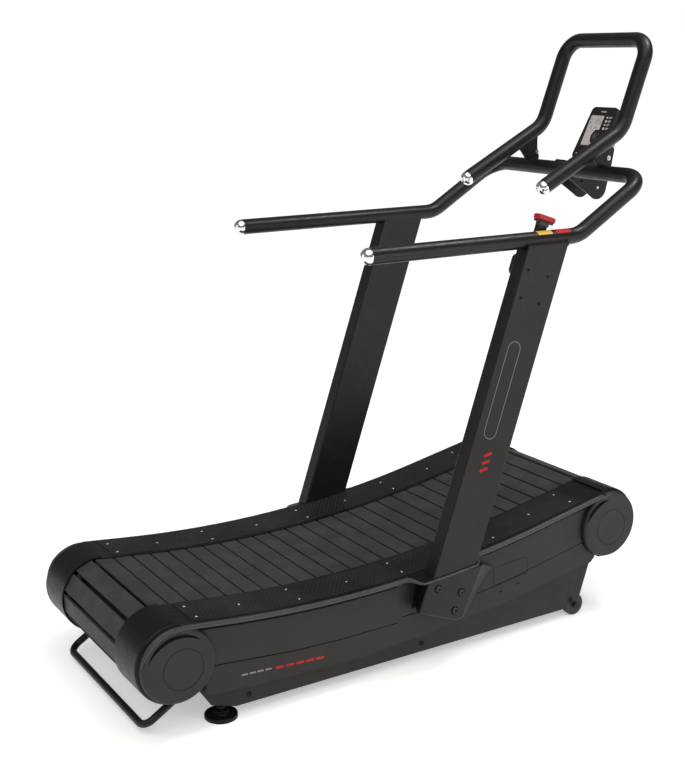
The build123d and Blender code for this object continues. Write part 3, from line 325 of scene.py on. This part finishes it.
def caster(node):
    """A function that finds where a ray meets a CAD node: (place, normal) or None."""
    mesh = nodes[node].data
    corners = [v.co.copy() for v in mesh.vertices]
    tree = BVHTree.FromPolygons(corners, [list(p.vertices) for p in mesh.polygons])

    def meet(origin, direction):
        place, normal, _, _ = tree.ray_cast(Vector(origin), Vector(direction))
        return (place, normal) if place else None

    return meet


# ---------------------------------------------------------------- grip pads
# Small raised lozenges in staggered rows cover the anti-slip pads.
STUD_LONG, STUD_WIDE, STUD_HIGH = 8.5 * MM, 5.5 * MM, 1.1 * MM
STUD_TOP, STUD_SUNK = 0.5, 0.2  # size of the top by the base, and the share of the height below
LOZENGE = [(STUD_LONG / 2, 0), (0, STUD_WIDE / 2), (-STUD_LONG / 2, 0), (0, -STUD_WIDE / 2)]
LOZENGE_TOP = [(u * STUD_TOP, v * STUD_TOP) for u, v in LOZENGE]
STUD_PITCH = (15 * MM, 10 * MM)
PAD_MARGIN = 5 * MM
SCREW_CLEAR = 6 * MM
ABOVE, DOWN = 1.0, (0, 0, -1)  # rays start at this height and look down


def screw_centres():
    """Middle of each trim screw's head, from the islands of the CAD node."""
    shape = bmesh.new()
    shape.from_mesh(nodes["trim_screws"].data)
    bmesh.ops.remove_doubles(shape, verts=shape.verts, dist=0.01 * MM)
    centres, seen, top_count = [], set(), 8
    for first in shape.verts:
        if first in seen:
            continue
        island, queue = [], [first]
        seen.add(first)
        while queue:
            vert = queue.pop()
            island.append(vert.co.copy())
            for edge in vert.link_edges:
                other = edge.other_vert(vert)
                if other not in seen:
                    seen.add(other)
                    queue.append(other)
        highest = sorted(island, key=lambda p: p.z)[-top_count:]
        centres.append(sum(highest, Vector()) / len(highest))
    shape.free()
    return centres


SCREWS = screw_centres()
pad_surface = caster("grip_pads")
pad_low, pad_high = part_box("grip_pads")
pad_inner = min(abs(v.co.y) for v in nodes["grip_pads"].data.vertices)
for side_name, side in (("right", RIGHT), ("left", LEFT)):
    studs = bmesh.new()
    near = [c for c in SCREWS if c.y * side > 0]
    rows = int((pad_high.y - pad_inner - 2 * PAD_MARGIN) / STUD_PITCH[1])
    columns = int((pad_high.x - pad_low.x - 2 * PAD_MARGIN) / STUD_PITCH[0])
    for row in range(rows + 1):
        y = side * (pad_inner + PAD_MARGIN + row * STUD_PITCH[1])
        for column in range(columns):
            x = pad_low.x + PAD_MARGIN + (column + 0.25 + 0.5 * (row % 2)) * STUD_PITCH[0]
            if any((c.xy - Vector((x, y))).length < SCREW_CLEAR for c in near):
                continue
            hit = pad_surface((x, y, ABOVE), DOWN)
            if not hit or hit[1].z < 0.5:
                continue
            place = axes(hit[0], (hit[1].z, 0, -hit[1].x), (0, 1, 0))
            low = level(studs, place, LOZENGE, -STUD_SUNK * STUD_HIGH)
            high = level(studs, place, LOZENGE_TOP, STUD_HIGH)
            studs.faces.new(high)
            bridge(studs, (low, high))
    piece(f"{side_name}_grip_studs", studs, "grip_rubber", crease=20)


# ---------------------------------------------------------------- screws and bolts
HEAD_RADIUS, HEAD_HIGH, HEAD_SUNK = 4.2 * MM, 1.4 * MM, 1.3 * MM
heads = bmesh.new()
for centre in SCREWS:
    hit = pad_surface((centre.x + 5 * MM, centre.y, ABOVE), DOWN)  # beside the screw
    normal = hit[1] if hit else Vector((0, 0, 1))
    base = centre - normal * HEAD_SUNK
    place = axes(base, (normal.z, 0, -normal.x), (0, 1, 0))
    socket_head(heads, place, HEAD_RADIUS, HEAD_HIGH, cross_recess(2.2 * MM, 0.45 * MM), 0.8 * MM)
trim_screw_heads = piece("trim_screw_heads", heads, "zinc", crease=30)
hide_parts("trim_screws")

bracket_low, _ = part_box("right_upright_bracket")
plate_low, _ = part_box("right_side_plate")
upright_low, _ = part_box("right_upright")
BOLT_PLACES = ((-21.5 * MM, 270.3 * MM), (63.2 * MM, 240.3 * MM), (40.4 * MM, 187.4 * MM))
BOLT_HEAD, BOLT_HIGH, BOLT_RADIUS = 9.6 * MM, 5.6 * MM, 6 * MM
NUT_FLATS, NUT_HIGH, NUT_BACK = 18 * MM, 10 * MM, 2 * MM
# The dark rings around the bolt heads are painted shade, for the shadow in the recess around each head
RECESS_SHADE_RADIUS, RECESS_SHADE_HOLE, RECESS_SHADE_HIGH = 13 * MM, 6.2 * MM, 1.2 * MM
bracket_y = abs(bracket_low.y)
shank = bracket_y - min(abs(v.co.y) for v in nodes["upright_bolts"].data.vertices)
bolts = bmesh.new()
recess_shades = bmesh.new()
for side in (RIGHT, LEFT):
    for x, z in BOLT_PLACES:
        place = outward(side, x, bracket_y, z)
        socket_head(bolts, place, BOLT_HEAD, BOLT_HIGH, hexagon(10 * MM), 4 * MM)
        lathe(bolts, place, ((0, 0), (BOLT_RADIUS, 0), (BOLT_RADIUS, -shank), (0, -shank)))
        nut = place @ Matrix.Translation((0, 0, NUT_BACK - shank))
        plate(bolts, nut, hexagon(NUT_FLATS), 0, NUT_HIGH)
        ribbon(recess_shades, place, circle(RECESS_SHADE_RADIUS, 32), circle(RECESS_SHADE_HOLE, 32), 0, RECESS_SHADE_HIGH)
upright_bolt_set = piece("upright_bolt_set", bolts, "bolt_paint", crease=30)
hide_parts("upright_bolts")
piece("upright_washers", recess_shades, "shadow_gap", bevel=0.3 * MM)

# Bolts through the chassis plates, and small screws at the heads of the uprights
CHASSIS_BOLTS = ((-615 * MM, 60 * MM), (-21 * MM, 61 * MM), (580 * MM, 61 * MM))
UPRIGHT_SCREWS = ((291 * MM, 1195 * MM), (366 * MM, 1169 * MM), (265 * MM, 1116 * MM),
                  (336 * MM, 1091 * MM))
small = bmesh.new()
for side in (RIGHT, LEFT):
    for places, seat, radius, high, hollow in (
        (CHASSIS_BOLTS, abs(plate_low.y), 8.5 * MM, 2.5 * MM, 5 * MM),
        (UPRIGHT_SCREWS, abs(upright_low.y), 5.0 * MM, 1.8 * MM, 4 * MM),
    ):
        for x, z in places:
            place = outward(side, x, seat, z)
            socket_head(small, place, radius, high, hexagon(hollow), high * 0.8)
piece("small_bolts", small, "mark_black", crease=30)


# ---------------------------------------------------------------- edge beads
def joint_place(child):
    """Where a body's joint stands."""
    joints = frame["record"]["behaviour"]["joints"]
    return next(Vector(joint["pos_m"]) for joint in joints if joint["child"] == child)


# A half-round bead runs along each trim's outer edge and dies away over both end covers. At the
# upright it swings out around the bracket, over a shoulder that carries the trim's top out to it.
BEAD_RADIUS, THIN_BEAD, BEAD_TIP = 7.8 * MM, 3.4 * MM, 1.5 * MM
BEAD_TAPER = 0.6 * MM  # change of the radius from one point to the next, on the end covers
BEAD_DROP = 7 * MM  # from the trim's top to the bead's middle
BEAD_INSET = 6.6 * MM  # from the trim's outer face to the bead's middle
CAP_BEAD_RADIUS = 104.5 * MM
REAR_ARC, FRONT_ARC = (194, 84), (102, 66)  # degrees around each end cover
TRIM_MIDDLE_Y = 330 * MM
SWING_LONG, SWING_DROP, SWING_INSET = 34 * MM, 8 * MM, 2.5 * MM  # how the bead rounds the bracket
NOTCH_GAP = 12 * MM
trim_surface = caster("right_trim")
trim_low, trim_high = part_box("right_trim")
bead_y = -trim_low.y - BEAD_INSET
swing_y = bracket_y - SWING_INSET
notch = (bracket_low.x - NOTCH_GAP, 160 * MM)


def trim_top(x):
    """Height of the trim's top face."""
    return trim_surface((x, RIGHT * TRIM_MIDDLE_Y, ABOVE), DOWN)[0].z


def cap_arc(centre, start, stop, count):
    """Points around the rim of an end cover, between two angles in degrees."""
    for k in range(count + 1):
        t = radians(start + (stop - start) * k / count)
        x, z = centre.x + CAP_BEAD_RADIUS * cos(t), centre.z + CAP_BEAD_RADIUS * sin(t)
        yield Vector((x, bead_y, z))


def along_trim(start, stop, count):
    """Points on the bead's line beside the trim."""
    for k in range(count + 1):
        x = start + (stop - start) * k / count
        yield Vector((x, bead_y, trim_top(x) - BEAD_DROP))


def around_bracket(count=24):
    """Points on the bead's line over the bracket's top edge."""
    for k in range(count + 1):
        x = notch[0] + (notch[1] - notch[0]) * k / count
        near_end = min(x - notch[0], notch[1] - x)
        out = min(near_end / SWING_LONG, 1.0)
        out = out * out * (3 - 2 * out)
        y = bead_y + (swing_y - bead_y) * out
        yield Vector((x, y, trim_top(x) - BEAD_DROP - SWING_DROP * out))


rear_arc = list(cap_arc(joint_place("rear_roller"), *REAR_ARC, 22))
rear_run = list(along_trim(trim_low.x + 6 * MM, notch[0] - NOTCH_GAP, 36))
over = list(around_bracket())
front_run = list(along_trim(notch[1] + NOTCH_GAP, trim_high.x - 2 * MM, 28))
front_arc = list(cap_arc(joint_place("front_roller"), *FRONT_ARC, 8))
line = rear_arc + rear_run + over + front_run + front_arc
radii = [min(BEAD_RADIUS, BEAD_TIP + BEAD_TAPER * k) for k in range(len(rear_arc))]
radii += [BEAD_RADIUS] * len(rear_run)
thinning = (THIN_BEAD - BEAD_RADIUS) / (swing_y - bead_y)
radii += [BEAD_RADIUS + thinning * (point.y - bead_y) for point in over]
radii += [BEAD_RADIUS] * len(front_run)
radii += [BEAD_RADIUS - BEAD_TAPER * k for k in range(len(front_arc))]
# The shoulder starts inside the trim. The lip shadow is a dark strip on the cover below the trim: painted
# shadow, where the trim's lip shades the cover.
SHOULDER_Y = (347 * MM, 362 * MM)
LIP_SHADOW_Y, LIP_SHADOW_HIGH, LIP_SHADOW_DROP = (349.4 * MM, 351.2 * MM), 11 * MM, 8 * MM
# A dark strip beside the bracket's rear wall is painted shade, for the shadow in the gap between the
# cover and the bracket
BRACKET_GAP = ((-64 * MM, 288 * MM), (-53 * MM, 288 * MM), (-68 * MM, 200 * MM),
               (-79 * MM, 200 * MM))  # (x, z) beside the bracket's rear wall
BRACKET_GAP_HIGH = 0.9 * MM


def across(side, rows):
    """Cross-sections on one side of the machine, from (x, profile of (y, z) points) of each."""
    return [[(x, side * y, z) for y, z in profile] for x, profile in rows]


for side_name, side in (("right", RIGHT), ("left", LEFT)):
    beads = bmesh.new()
    tube(beads, [Vector((p.x, side * p.y, p.z)) for p in line], radii)
    piece(f"{side_name}_edge_bead", beads, "bead_plastic_and_highlight", crease=60)
    shoulder = bmesh.new()
    rows = []
    for point in over:
        top = trim_top(point.x)
        rows.append((point.x, (
            (SHOULDER_Y[0], top - 0.2 * MM), (SHOULDER_Y[1], top - 1.2 * MM),
            (point.y, point.z + 2 * MM), (point.y, point.z - 4 * MM),
            (SHOULDER_Y[0], top - 13 * MM))))
    strip(shoulder, across(side, rows))
    piece(f"{side_name}_trim_shoulder", shoulder, "trim_plastic", crease=25)
    # Painted shadow: a dark strip on the cover under the trim's lip, and one beside the bracket's rear
    # wall
    lip_shadow = bmesh.new()
    inner_y, outer_y = LIP_SHADOW_Y
    for run in (rear_run[1:-1], front_run[1:-2]):
        rows = []
        for point in run:
            high = point.z - LIP_SHADOW_DROP
            low = high - LIP_SHADOW_HIGH
            corners = ((inner_y, high), (outer_y, high), (outer_y, low), (inner_y, low))
            rows.append((point.x, corners))
        strip(lip_shadow, across(side, rows))
    gap = [(-side * x, z) for x, z in BRACKET_GAP]
    plate(lip_shadow, outward(side, 0, inner_y, 0), gap, 0, BRACKET_GAP_HIGH)
    piece(f"{side_name}_gasket", lip_shadow, "shadow_gap", crease=30)


# ---------------------------------------------------------------- marks and small features
def turned(outline, lean, x, z, side):
    """An outline leant forward by an angle and moved, in a side's own frame."""
    a = radians(lean)
    spun = [(px * cos(a) + py * sin(a) + x, py * cos(a) - px * sin(a) + z) for px, py in outline]
    return [(px if side < 0 else -px, pz) for px, pz in spun]


LEAN = 18.7  # degrees between the uprights and the vertical
MARK_LEAN, DASH_LEAN = -10, 4
CAPSULE = (205 * MM, 845 * MM)  # (x, z) of its middle
BAR, BAR_STEP = (157 * MM, 655 * MM), (-7.5 * MM, -22 * MM)
GREY_DASH, GREY_STEP = (-640 * MM, 138 * MM), (25 * MM, -1.2 * MM)
RED_DASH, RED_STEP = (-528 * MM, 131 * MM), (33 * MM, -1.9 * MM)
HATCH, HATCH_LEAN = (299 * MM, 237 * MM), -5
SLOTS = ((264 * MM, 174 * MM), (333 * MM, 185 * MM))
GAP_SHADE_HIGH = 0.3 * MM
upright_y = -upright_low.y
lower_y, upper_y = (-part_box(name)[0].y for name in ("right_lower_cover", "right_upper_cover"))
grey_marks, red_marks, yellow_marks, gap_shades = bmesh.new(), bmesh.new(), bmesh.new(), bmesh.new()
for side in (RIGHT, LEFT):
    # Uprights: a long capsule outline with a row of slanted bars below it
    place = outward(side, 0, upright_y, 0)
    outer, inner = (turned(round_box(w * MM, h * MM, r * MM), LEAN, *CAPSULE, side)
                    for w, h, r in ((48, 300, 23.9), (44.6, 296.6, 22.2)))
    ribbon(grey_marks, place, outer, inner, -HAIR, HAIR)
    # Lower covers: a row of grey dashes and a row of red ones
    cover = outward(side, 0, lower_y, 0)
    for shape, where, count, box, lean, first, step in (
        (red_marks, place, 3, (30, 9, 4), MARK_LEAN, BAR, BAR_STEP),
        (grey_marks, cover, 4, (20, 5, 2.4), DASH_LEAN, GREY_DASH, GREY_STEP),
        (red_marks, cover, 5, (27, 7, 3.3), DASH_LEAN, RED_DASH, RED_STEP),
    ):
        outline = round_box(*[measure * MM for measure in box])
        for k in range(count):
            x, z = first[0] + k * step[0], first[1] + k * step[1]
            plate(shape, where, turned(outline, lean, x, z, side), -HAIR, HAIR)
    # Access hatch, drawn by the gap around it, and two slots in the lower cover, as thin dark strips on
    # the surface: painted shade for the gap and the slots
    hatch = [turned(round_box(w * MM, h * MM, r * MM), HATCH_LEAN, *HATCH, side)
             for w, h, r in ((136, 59, 8), (133.8, 56.8, 6.9))]
    ribbon(gap_shades, outward(side, 0, upper_y, 0), *hatch, -HAIR, GAP_SHADE_HIGH)
    for x, z in SLOTS:
        slot = turned(round_box(15 * MM, 3.6 * MM, 1.7 * MM), MARK_LEAN, x, z, side)
        plate(gap_shades, cover, slot, -HAIR, GAP_SHADE_HIGH)


# Two short bands on the right hand rail, wrapped over its upper outer half
RAIL_AXIS_Y, RAIL_AXIS_Z, RAIL_RADIUS = 370 * MM, 1277 * MM, 24.15 * MM
BAND_TURN, BAND_STEPS = (40, 102), 12  # degrees above the horizontal
YELLOW_BAND, RED_BAND = (337 * MM, 391 * MM), (409 * MM, 461 * MM)
for shape, (start, stop) in ((yellow_marks, YELLOW_BAND), (red_marks, RED_BAND)):
    sections = []
    for k in range(BAND_STEPS + 1):
        t = radians(BAND_TURN[0] + (BAND_TURN[1] - BAND_TURN[0]) * k / BAND_STEPS)
        sections.append([(x, RIGHT * (RAIL_AXIS_Y + r * cos(t)), RAIL_AXIS_Z + r * sin(t))
                         for x, r in ((start, RAIL_RADIUS - HAIR), (start, RAIL_RADIUS + HAIR),
                                      (stop, RAIL_RADIUS + HAIR), (stop, RAIL_RADIUS - HAIR))])
    strip(shape, sections)
piece("grey_marks", grey_marks, "mark_grey")
piece("red_marks", red_marks, "mark_red")
piece("yellow_marks", yellow_marks, "mark_yellow")
piece("hatch_gap_shades", gap_shades, "shadow_gap")


# ---------------------------------------------------------------- console
# Local frame on the console's face: x to the runner's right, y up the face, z towards the runner
CONSOLE_TILT = radians(63.7)
FACE_FOOT = (861.8 * MM, 0, 1464.9 * MM)
face = axes(FACE_FOOT, (0, -1, 0), (cos(CONSOLE_TILT), 0, sin(CONSOLE_TILT)))
SCREEN_DEEP = -1 * MM
DIAL = (2 * MM, 81 * MM)


def bar(shape, x, y, width, height, low, high, radius=0.6 * MM):
    """A small raised bar with round corners on the console's face."""
    plate(shape, face, moved(round_box(width, height, radius, 3), x, y), low, high)


DIGITS = {"0": "abcdef", "1": "bc", "2": "abged", "5": "afgcd", "3": "abgcd"}


def digit(shape, figure, x, y, height):
    """A seven-segment figure on the screen."""
    w, thick = height * 0.5, height * 0.13
    spots = {
        "a": (0, height / 2, w, thick), "g": (0, 0, w, thick), "d": (0, -height / 2, w, thick),
        "b": (w / 2, height / 4, thick, w * 0.8), "c": (w / 2, -height / 4, thick, w * 0.8),
        "e": (-w / 2, -height / 4, thick, w * 0.8), "f": (-w / 2, height / 4, thick, w * 0.8),
    }
    for segment in DIGITS[figure]:
        dx, dy, sw, sh = spots[segment]
        bar(shape, x + dx, y + dy, sw, sh, SCREEN_DEEP, SCREEN_DEEP + HAIR, 0.2 * MM)


figures = bmesh.new()
TEXTS = (("0125", -43, 13, 137, 15), ("10", -42, 9, 112, 9), ("35", -18, 9, 112, 9))
for text, start, pitch, y, height in TEXTS:
    for k, figure in enumerate(text):
        digit(figures, figure, (start + pitch * k) * MM, y * MM, height * MM)
for y in (124 * MM, 100 * MM):
    bar(figures, -21.5 * MM, y, 56 * MM, 0.6 * MM, SCREEN_DEEP, SCREEN_DEEP + HAIR, 0.2 * MM)
piece("screen_figures", figures, "mark_grey")

icons_and_glint = bmesh.new()
for row in range(4):
    y = (110 + 13 * row) * MM
    bar(icons_and_glint, 27 * MM, y, 8 * MM, (5 if row % 2 else 8) * MM, -HAIR, HAIR, 1.5 * MM)
    bar(icons_and_glint, 43 * MM, y + 1.6 * MM, 12 * MM, 2.2 * MM, -HAIR, HAIR, 0.8 * MM)
    bar(icons_and_glint, 41 * MM, y - 2.2 * MM, 8 * MM, 2.2 * MM, -HAIR, HAIR, 0.8 * MM)
bar(icons_and_glint, 0, 169 * MM, 26 * MM, 2.6 * MM, -HAIR, HAIR, 1.2 * MM)
# A white crescent around the dial's left side: a painted highlight on the dial's rim
CRESCENT_RADIUS, CRESCENT_DEEP, CRESCENT_HIGH, CRESCENT_STEPS = 24.6 * MM, 4.6 * MM, 0.5 * MM, 20
crescent = []
for k in range(CRESCENT_STEPS + 1):
    part_way = k / CRESCENT_STEPS
    t = pi * (0.6 + 0.75 * part_way)
    inner = CRESCENT_RADIUS - CRESCENT_DEEP * sin(pi * part_way) - 0.3 * MM
    crescent.append([face @ Vector((DIAL[0] + r * cos(t), DIAL[1] + r * sin(t), z))
                     for r, z in ((CRESCENT_RADIUS, -HAIR), (CRESCENT_RADIUS, CRESCENT_HIGH),
                                  (inner, CRESCENT_HIGH), (inner, -HAIR))])
strip(icons_and_glint, crescent)
piece("console_icons", icons_and_glint, "white_print_and_glint")

symbols = bmesh.new()
dial_low, dial_high = 2.5 * MM - HAIR, 2.5 * MM + HAIR
ring = [moved(circle(r, 24), *DIAL) for r in (9 * MM, 7.8 * MM)]
arrow = moved([(-2.5 * MM, -4 * MM), (4.5 * MM, 0), (-2.5 * MM, 4 * MM)], *DIAL)
ribbon(symbols, face, *ring, dial_low, dial_high)
plate(symbols, face, arrow, dial_low, dial_high)
piece("dial_symbol", symbols, "mark_grey", body="dial_button")
for body, x in (("left_key", 14 * MM), ("right_key", 44 * MM)):
    symbols = bmesh.new()
    bar(symbols, x, 27 * MM, 8 * MM, 1.4 * MM, dial_low, dial_high)
    if body == "right_key":
        bar(symbols, x, 27 * MM, 1.4 * MM, 8 * MM, dial_low, dial_high + 0.5 * HAIR)
    piece(f"{body}_symbol", symbols, "mark_grey", body=body)

# Bright screws: two in the console's face, three through each ear of its bracket
ear_y = -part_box("console_bracket")[0].y
# x, z, radius and height in mm
EAR_SCREWS = ((943, 1507, 6.8, 5), (911.4, 1444, 3.2, 2), (882, 1371, 5, 3))
EAR_HOLES = ((920 * MM, 1486 * MM), (811 * MM, 1398 * MM))
HOLE_RADIUS, HOLE_LIP = 5.5 * MM, 4.2 * MM
bright, hole_shades = bmesh.new(), bmesh.new()
for u in (-56 * MM, 56 * MM):
    place = face @ Matrix.Translation((u, 17 * MM, 0))
    socket_head(bright, place, 3.6 * MM, 1.4 * MM, cross_recess(2 * MM, 0.4 * MM), MM)
for side in (RIGHT, LEFT):
    for x, z, radius, high in EAR_SCREWS:
        place = outward(side, x * MM, ear_y, z * MM)
        hollow = hexagon(radius * 0.9 * MM)
        socket_head(bright, place, radius * MM, high * MM, hollow, high * 0.6 * MM)
    # Dark discs in the ear's holes: painted shade, for the shadow inside each hole
    for x, z in EAR_HOLES:
        hole_shade_profile = ((0, -MM), (HOLE_RADIUS, -MM), (HOLE_RADIUS, 0.2 * MM), (HOLE_LIP, 0.2 * MM),
                (HOLE_LIP, -0.4 * MM), (0, -0.4 * MM))
        lathe(hole_shades, outward(side, x, ear_y, z), hole_shade_profile, 20)
piece("bright_screws", bright, "zinc", crease=30)
piece("ear_hole_shades", hole_shades, "shadow_gap", crease=30)


# ---------------------------------------------------------------- lever, feet and magnets
LEVER = (355.5 * MM, 1210 * MM)  # (x, z) of its pivot


def lever_place(depth):
    """Local frame at the lever's pivot: x forward across the upright, y up along it."""
    c, s = cos(radians(LEAN)), sin(radians(LEAN))
    return axes((LEVER[0], RIGHT * depth, LEVER[1]), (c, 0, -s), (s, 0, c))


# Depth, width, height, half thickness, and the middle's place forward and up, in mm
COLLARS = ((330, 58, 7, 13, 9, 119.5), (335.7, 38, 12, 9.5, 2, 112))
collar = bmesh.new()
for depth, width, height, half, along, up in COLLARS:
    outline = moved(round_box(width * MM, height * MM, 3 * MM), along * MM, up * MM)
    plate(collar, lever_place(depth * MM), outline, -half * MM, half * MM)
piece("lever_collar", collar, "button_plastic", body="lever", bevel=1.5 * MM)

# A moulded bulge behind the lever's housing reaches back to the upright's rear edge. Each level
# is an inset of its outline and a distance from the upright's middle, in mm.
BULGE = (33, 66, 16)  # width, length and corner radius
BULGE_LEVELS = ((8.0, 2.0), (5.0, 2.8), (2.4, 5.0), (0.8, 9.0), (0.0, 14.0), (0.0, 26.5))
shell = bmesh.new()
place = lever_place(323 * MM)
rings = []
for inset, depth in BULGE_LEVELS:
    width, length, radius = BULGE[0] - 2 * inset, BULGE[1] - 2 * inset, BULGE[2] - inset
    outline = moved(round_box(width * MM, length * MM, radius * MM), -55 * MM, -26 * MM)
    rings.append(level(shell, place, outline, depth * MM))
bridge(shell, rings)
shell.faces.new(rings[0])
shell.faces.new(rings[-1][::-1])
piece("lever_cover", shell, "powder_coat", crease=50)

FOOT_NUT_Z, FOOT_WASHER = 25 * MM, 16 * MM
for body in ("right_foot", "left_foot"):
    foot = joint_place(body)
    nut = bmesh.new()
    place = Matrix.Translation((foot.x, foot.y, FOOT_NUT_Z))
    plate(nut, place, hexagon(22 * MM), 0, 10 * MM)
    washer = ((0, -1.2 * MM), (FOOT_WASHER, -1.2 * MM), (FOOT_WASHER, 0.4 * MM), (0, 0.4 * MM))
    lathe(nut, place, washer, 24)
    piece(f"{body}_nut", nut, "black_bolt", body=body, crease=30, bevel=0.6 * MM)

MAGNET, MAGNET_LOW, MAGNET_HIGH = 13 * MM, 0.3 * MM, 4.2 * MM
MAGNET_Y = (250.9 * MM, 271.5 * MM)  # the faces the magnets stand on
magnets = bmesh.new()
for depth in MAGNET_Y:
    for x, z in ((332 * MM, 128 * MM), (350 * MM, 140 * MM)):
        place = axes((x, RIGHT * depth, z), (1, 0, 0), (0, 0, 1))
        plate(magnets, place, round_box(MAGNET, MAGNET, 2 * MM), MAGNET_LOW, MAGNET_HIGH)
piece("brake_magnets", magnets, "zinc", body="brake_yoke", bevel=0.4 * MM)

# Weld beads where the gussets meet the cross bar, and a fillet between rail and upright head
BAR_X, BAR_Z, WELD_RADIUS = 770 * MM, 1435.5 * MM, 24.6 * MM
GUSSET_Y, GUSSET_HALF = 176 * MM, 3.6 * MM
HEAD_X = (290 * MM, 340 * MM, 400 * MM, 444 * MM)
welds = bmesh.new()
for side in (RIGHT, LEFT):
    for offset_y in (-GUSSET_HALF, GUSSET_HALF):
        y = side * GUSSET_Y + offset_y
        turns = [radians(a) for a in range(22, 100, 3)]
        points = [Vector((BAR_X + WELD_RADIUS * cos(t), y, BAR_Z + WELD_RADIUS * sin(t))) for t in turns]
        tube(welds, points, [(1.5 + 0.35 * (k % 2)) * MM for k in range(len(points))], 8)
for side in (RIGHT, LEFT):
    profile = [(399.4 * MM, 1254 * MM), (400.3 * MM, 1262 * MM), (399.6 * MM, 1266 * MM)]
    for angle in (-14, -2, 10):
        profile.append((RAIL_AXIS_Y + (RAIL_RADIUS + 0.4 * MM) * cos(radians(angle)),
                        RAIL_AXIS_Z + RAIL_RADIUS * sin(radians(angle))))
    profile += [(388 * MM, 1281 * MM), (388 * MM, 1254 * MM)]
    strip(welds, across(side, [(x, profile) for x in HEAD_X]))
piece("gusset_welds", welds, "powder_coat", crease=80)


# ---------------------------------------------------------------- camera, lights and floor
def look_along(azimuth, elevation, roll):
    """Camera axes for an azimuth and elevation, as columns right, up, back."""
    a, e, r = radians(azimuth), radians(elevation), radians(roll)
    back = Vector((sin(a) * cos(e), -cos(a) * cos(e), sin(e)))
    right = Vector((0, 0, 1)).cross(back).normalized()
    up = back.cross(right)
    turned_right = right * cos(r) + up * sin(r)
    turned_up = up * cos(r) - right * sin(r)
    return Matrix((turned_right, turned_up, back)).transposed()


LENS, SENSOR = 61.13, 36  # mm
CAMERA_PLACE = (-2.131, -3.2603, 1.8071)
CAMERA_TURN = (-31.92, 14.15, -0.28)  # azimuth, elevation and roll in degrees
camera_data = bpy.data.cameras.new("camera")
camera_data.lens = LENS
camera_data.sensor_width = SENSOR
camera = bpy.data.objects.new("camera", camera_data)
camera.matrix_world = Matrix.Translation(CAMERA_PLACE) @ look_along(*CAMERA_TURN).to_4x4()
bpy.context.scene.collection.objects.link(camera)
bpy.context.scene.camera = camera


def soft_light(name, place, aim, size, power):
    """A square area light at place, turned to face aim."""
    data = bpy.data.lights.new(name, "AREA")
    data.energy = power
    data.color = LIGHT_TINT
    data.size = size
    light = bpy.data.objects.new(name, data)
    light.location = place
    light.rotation_mode = "QUATERNION"
    light.rotation_quaternion = (Vector(aim) - Vector(place)).to_track_quat("-Z", "Y")
    bpy.context.scene.collection.objects.link(light)


def broad_light(name, towards, spread_angle, strength):
    """A very large, soft light far away in one direction."""
    data = bpy.data.lights.new(name, "SUN")
    data.energy = strength
    data.color = LIGHT_TINT
    data.angle = radians(spread_angle)
    light = bpy.data.objects.new(name, data)
    light.rotation_mode = "QUATERNION"
    light.rotation_quaternion = Vector(towards).to_track_quat("Z", "Y")
    bpy.context.scene.collection.objects.link(light)


broad_light("overhead", (-0.25, -0.45, 1.0), 70, 2.0)
soft_light("side", (1.5, -3.0, 1.3), (0.1, -0.3, 0.6), 1.6, 15)
soft_light("rear_fill", (-3.4, 1.0, 1.8), (-0.3, 0, 0.5), 1.6, 9)
soft_light("top_strip", (1.5, -0.7, 3.4), (0.0, -0.2, 0.5), 0.7, 26)

# The room is dim, so that the floor and the lights shape the black surfaces, and its walls are pale
ROOM_GLOW, WALL_GLOW = 0.22, 1.0
world = bpy.data.worlds.new("studio")
world.use_nodes = True
room = world.node_tree
wall = add(room, "Background", {"Color": (1, 1, 1, 1), "Strength": WALL_GLOW})
glow = room.nodes["Background"]
glow.inputs["Color"].default_value = (1, 1, 1, 1)
glow.inputs["Strength"].default_value = ROOM_GLOW
seen = add(room, "LightPath").outputs["Is Camera Ray"]
both = add(room, "MixShader", {0: seen, 1: glow.outputs[0], 2: wall.outputs[0]})
room.links.new(both.outputs[0], room.nodes["World Output"].inputs["Surface"])
bpy.context.scene.world = world
bpy.context.scene.view_settings.view_transform = "Standard"

FLOOR_HALF, FLOOR_DEEP, FLOOR_GLOW = 60.0, 0.05, 0.42
floor_corners = [(x * FLOOR_HALF, y * FLOOR_HALF) for x, y in ((-1, -1), (1, -1), (1, 1), (-1, 1))]
floor_shape = bmesh.new()
plate(floor_shape, Matrix.Identity(4), floor_corners, -FLOOR_DEEP, 0.0)
floor_mesh = bpy.data.meshes.new("floor")
floor_shape.to_mesh(floor_mesh)
floor_shape.free()
floor_look = finish("floor_look", grey(0.86), grey(0.88), 0.6, blotch=0.8, grain=60, relief=0.05,
                    speckle=0.01, spec=0.2)
floor_shader = floor_look.node_tree.nodes["Principled BSDF"]
floor_shader.inputs["Emission Color"].default_value = (1, 1, 1, 1)
floor_shader.inputs["Emission Strength"].default_value = FLOOR_GLOW
floor_mesh.materials.append(floor_look)
floor = bpy.data.objects.new("floor", floor_mesh)
bpy.context.scene.collection.objects.link(floor)
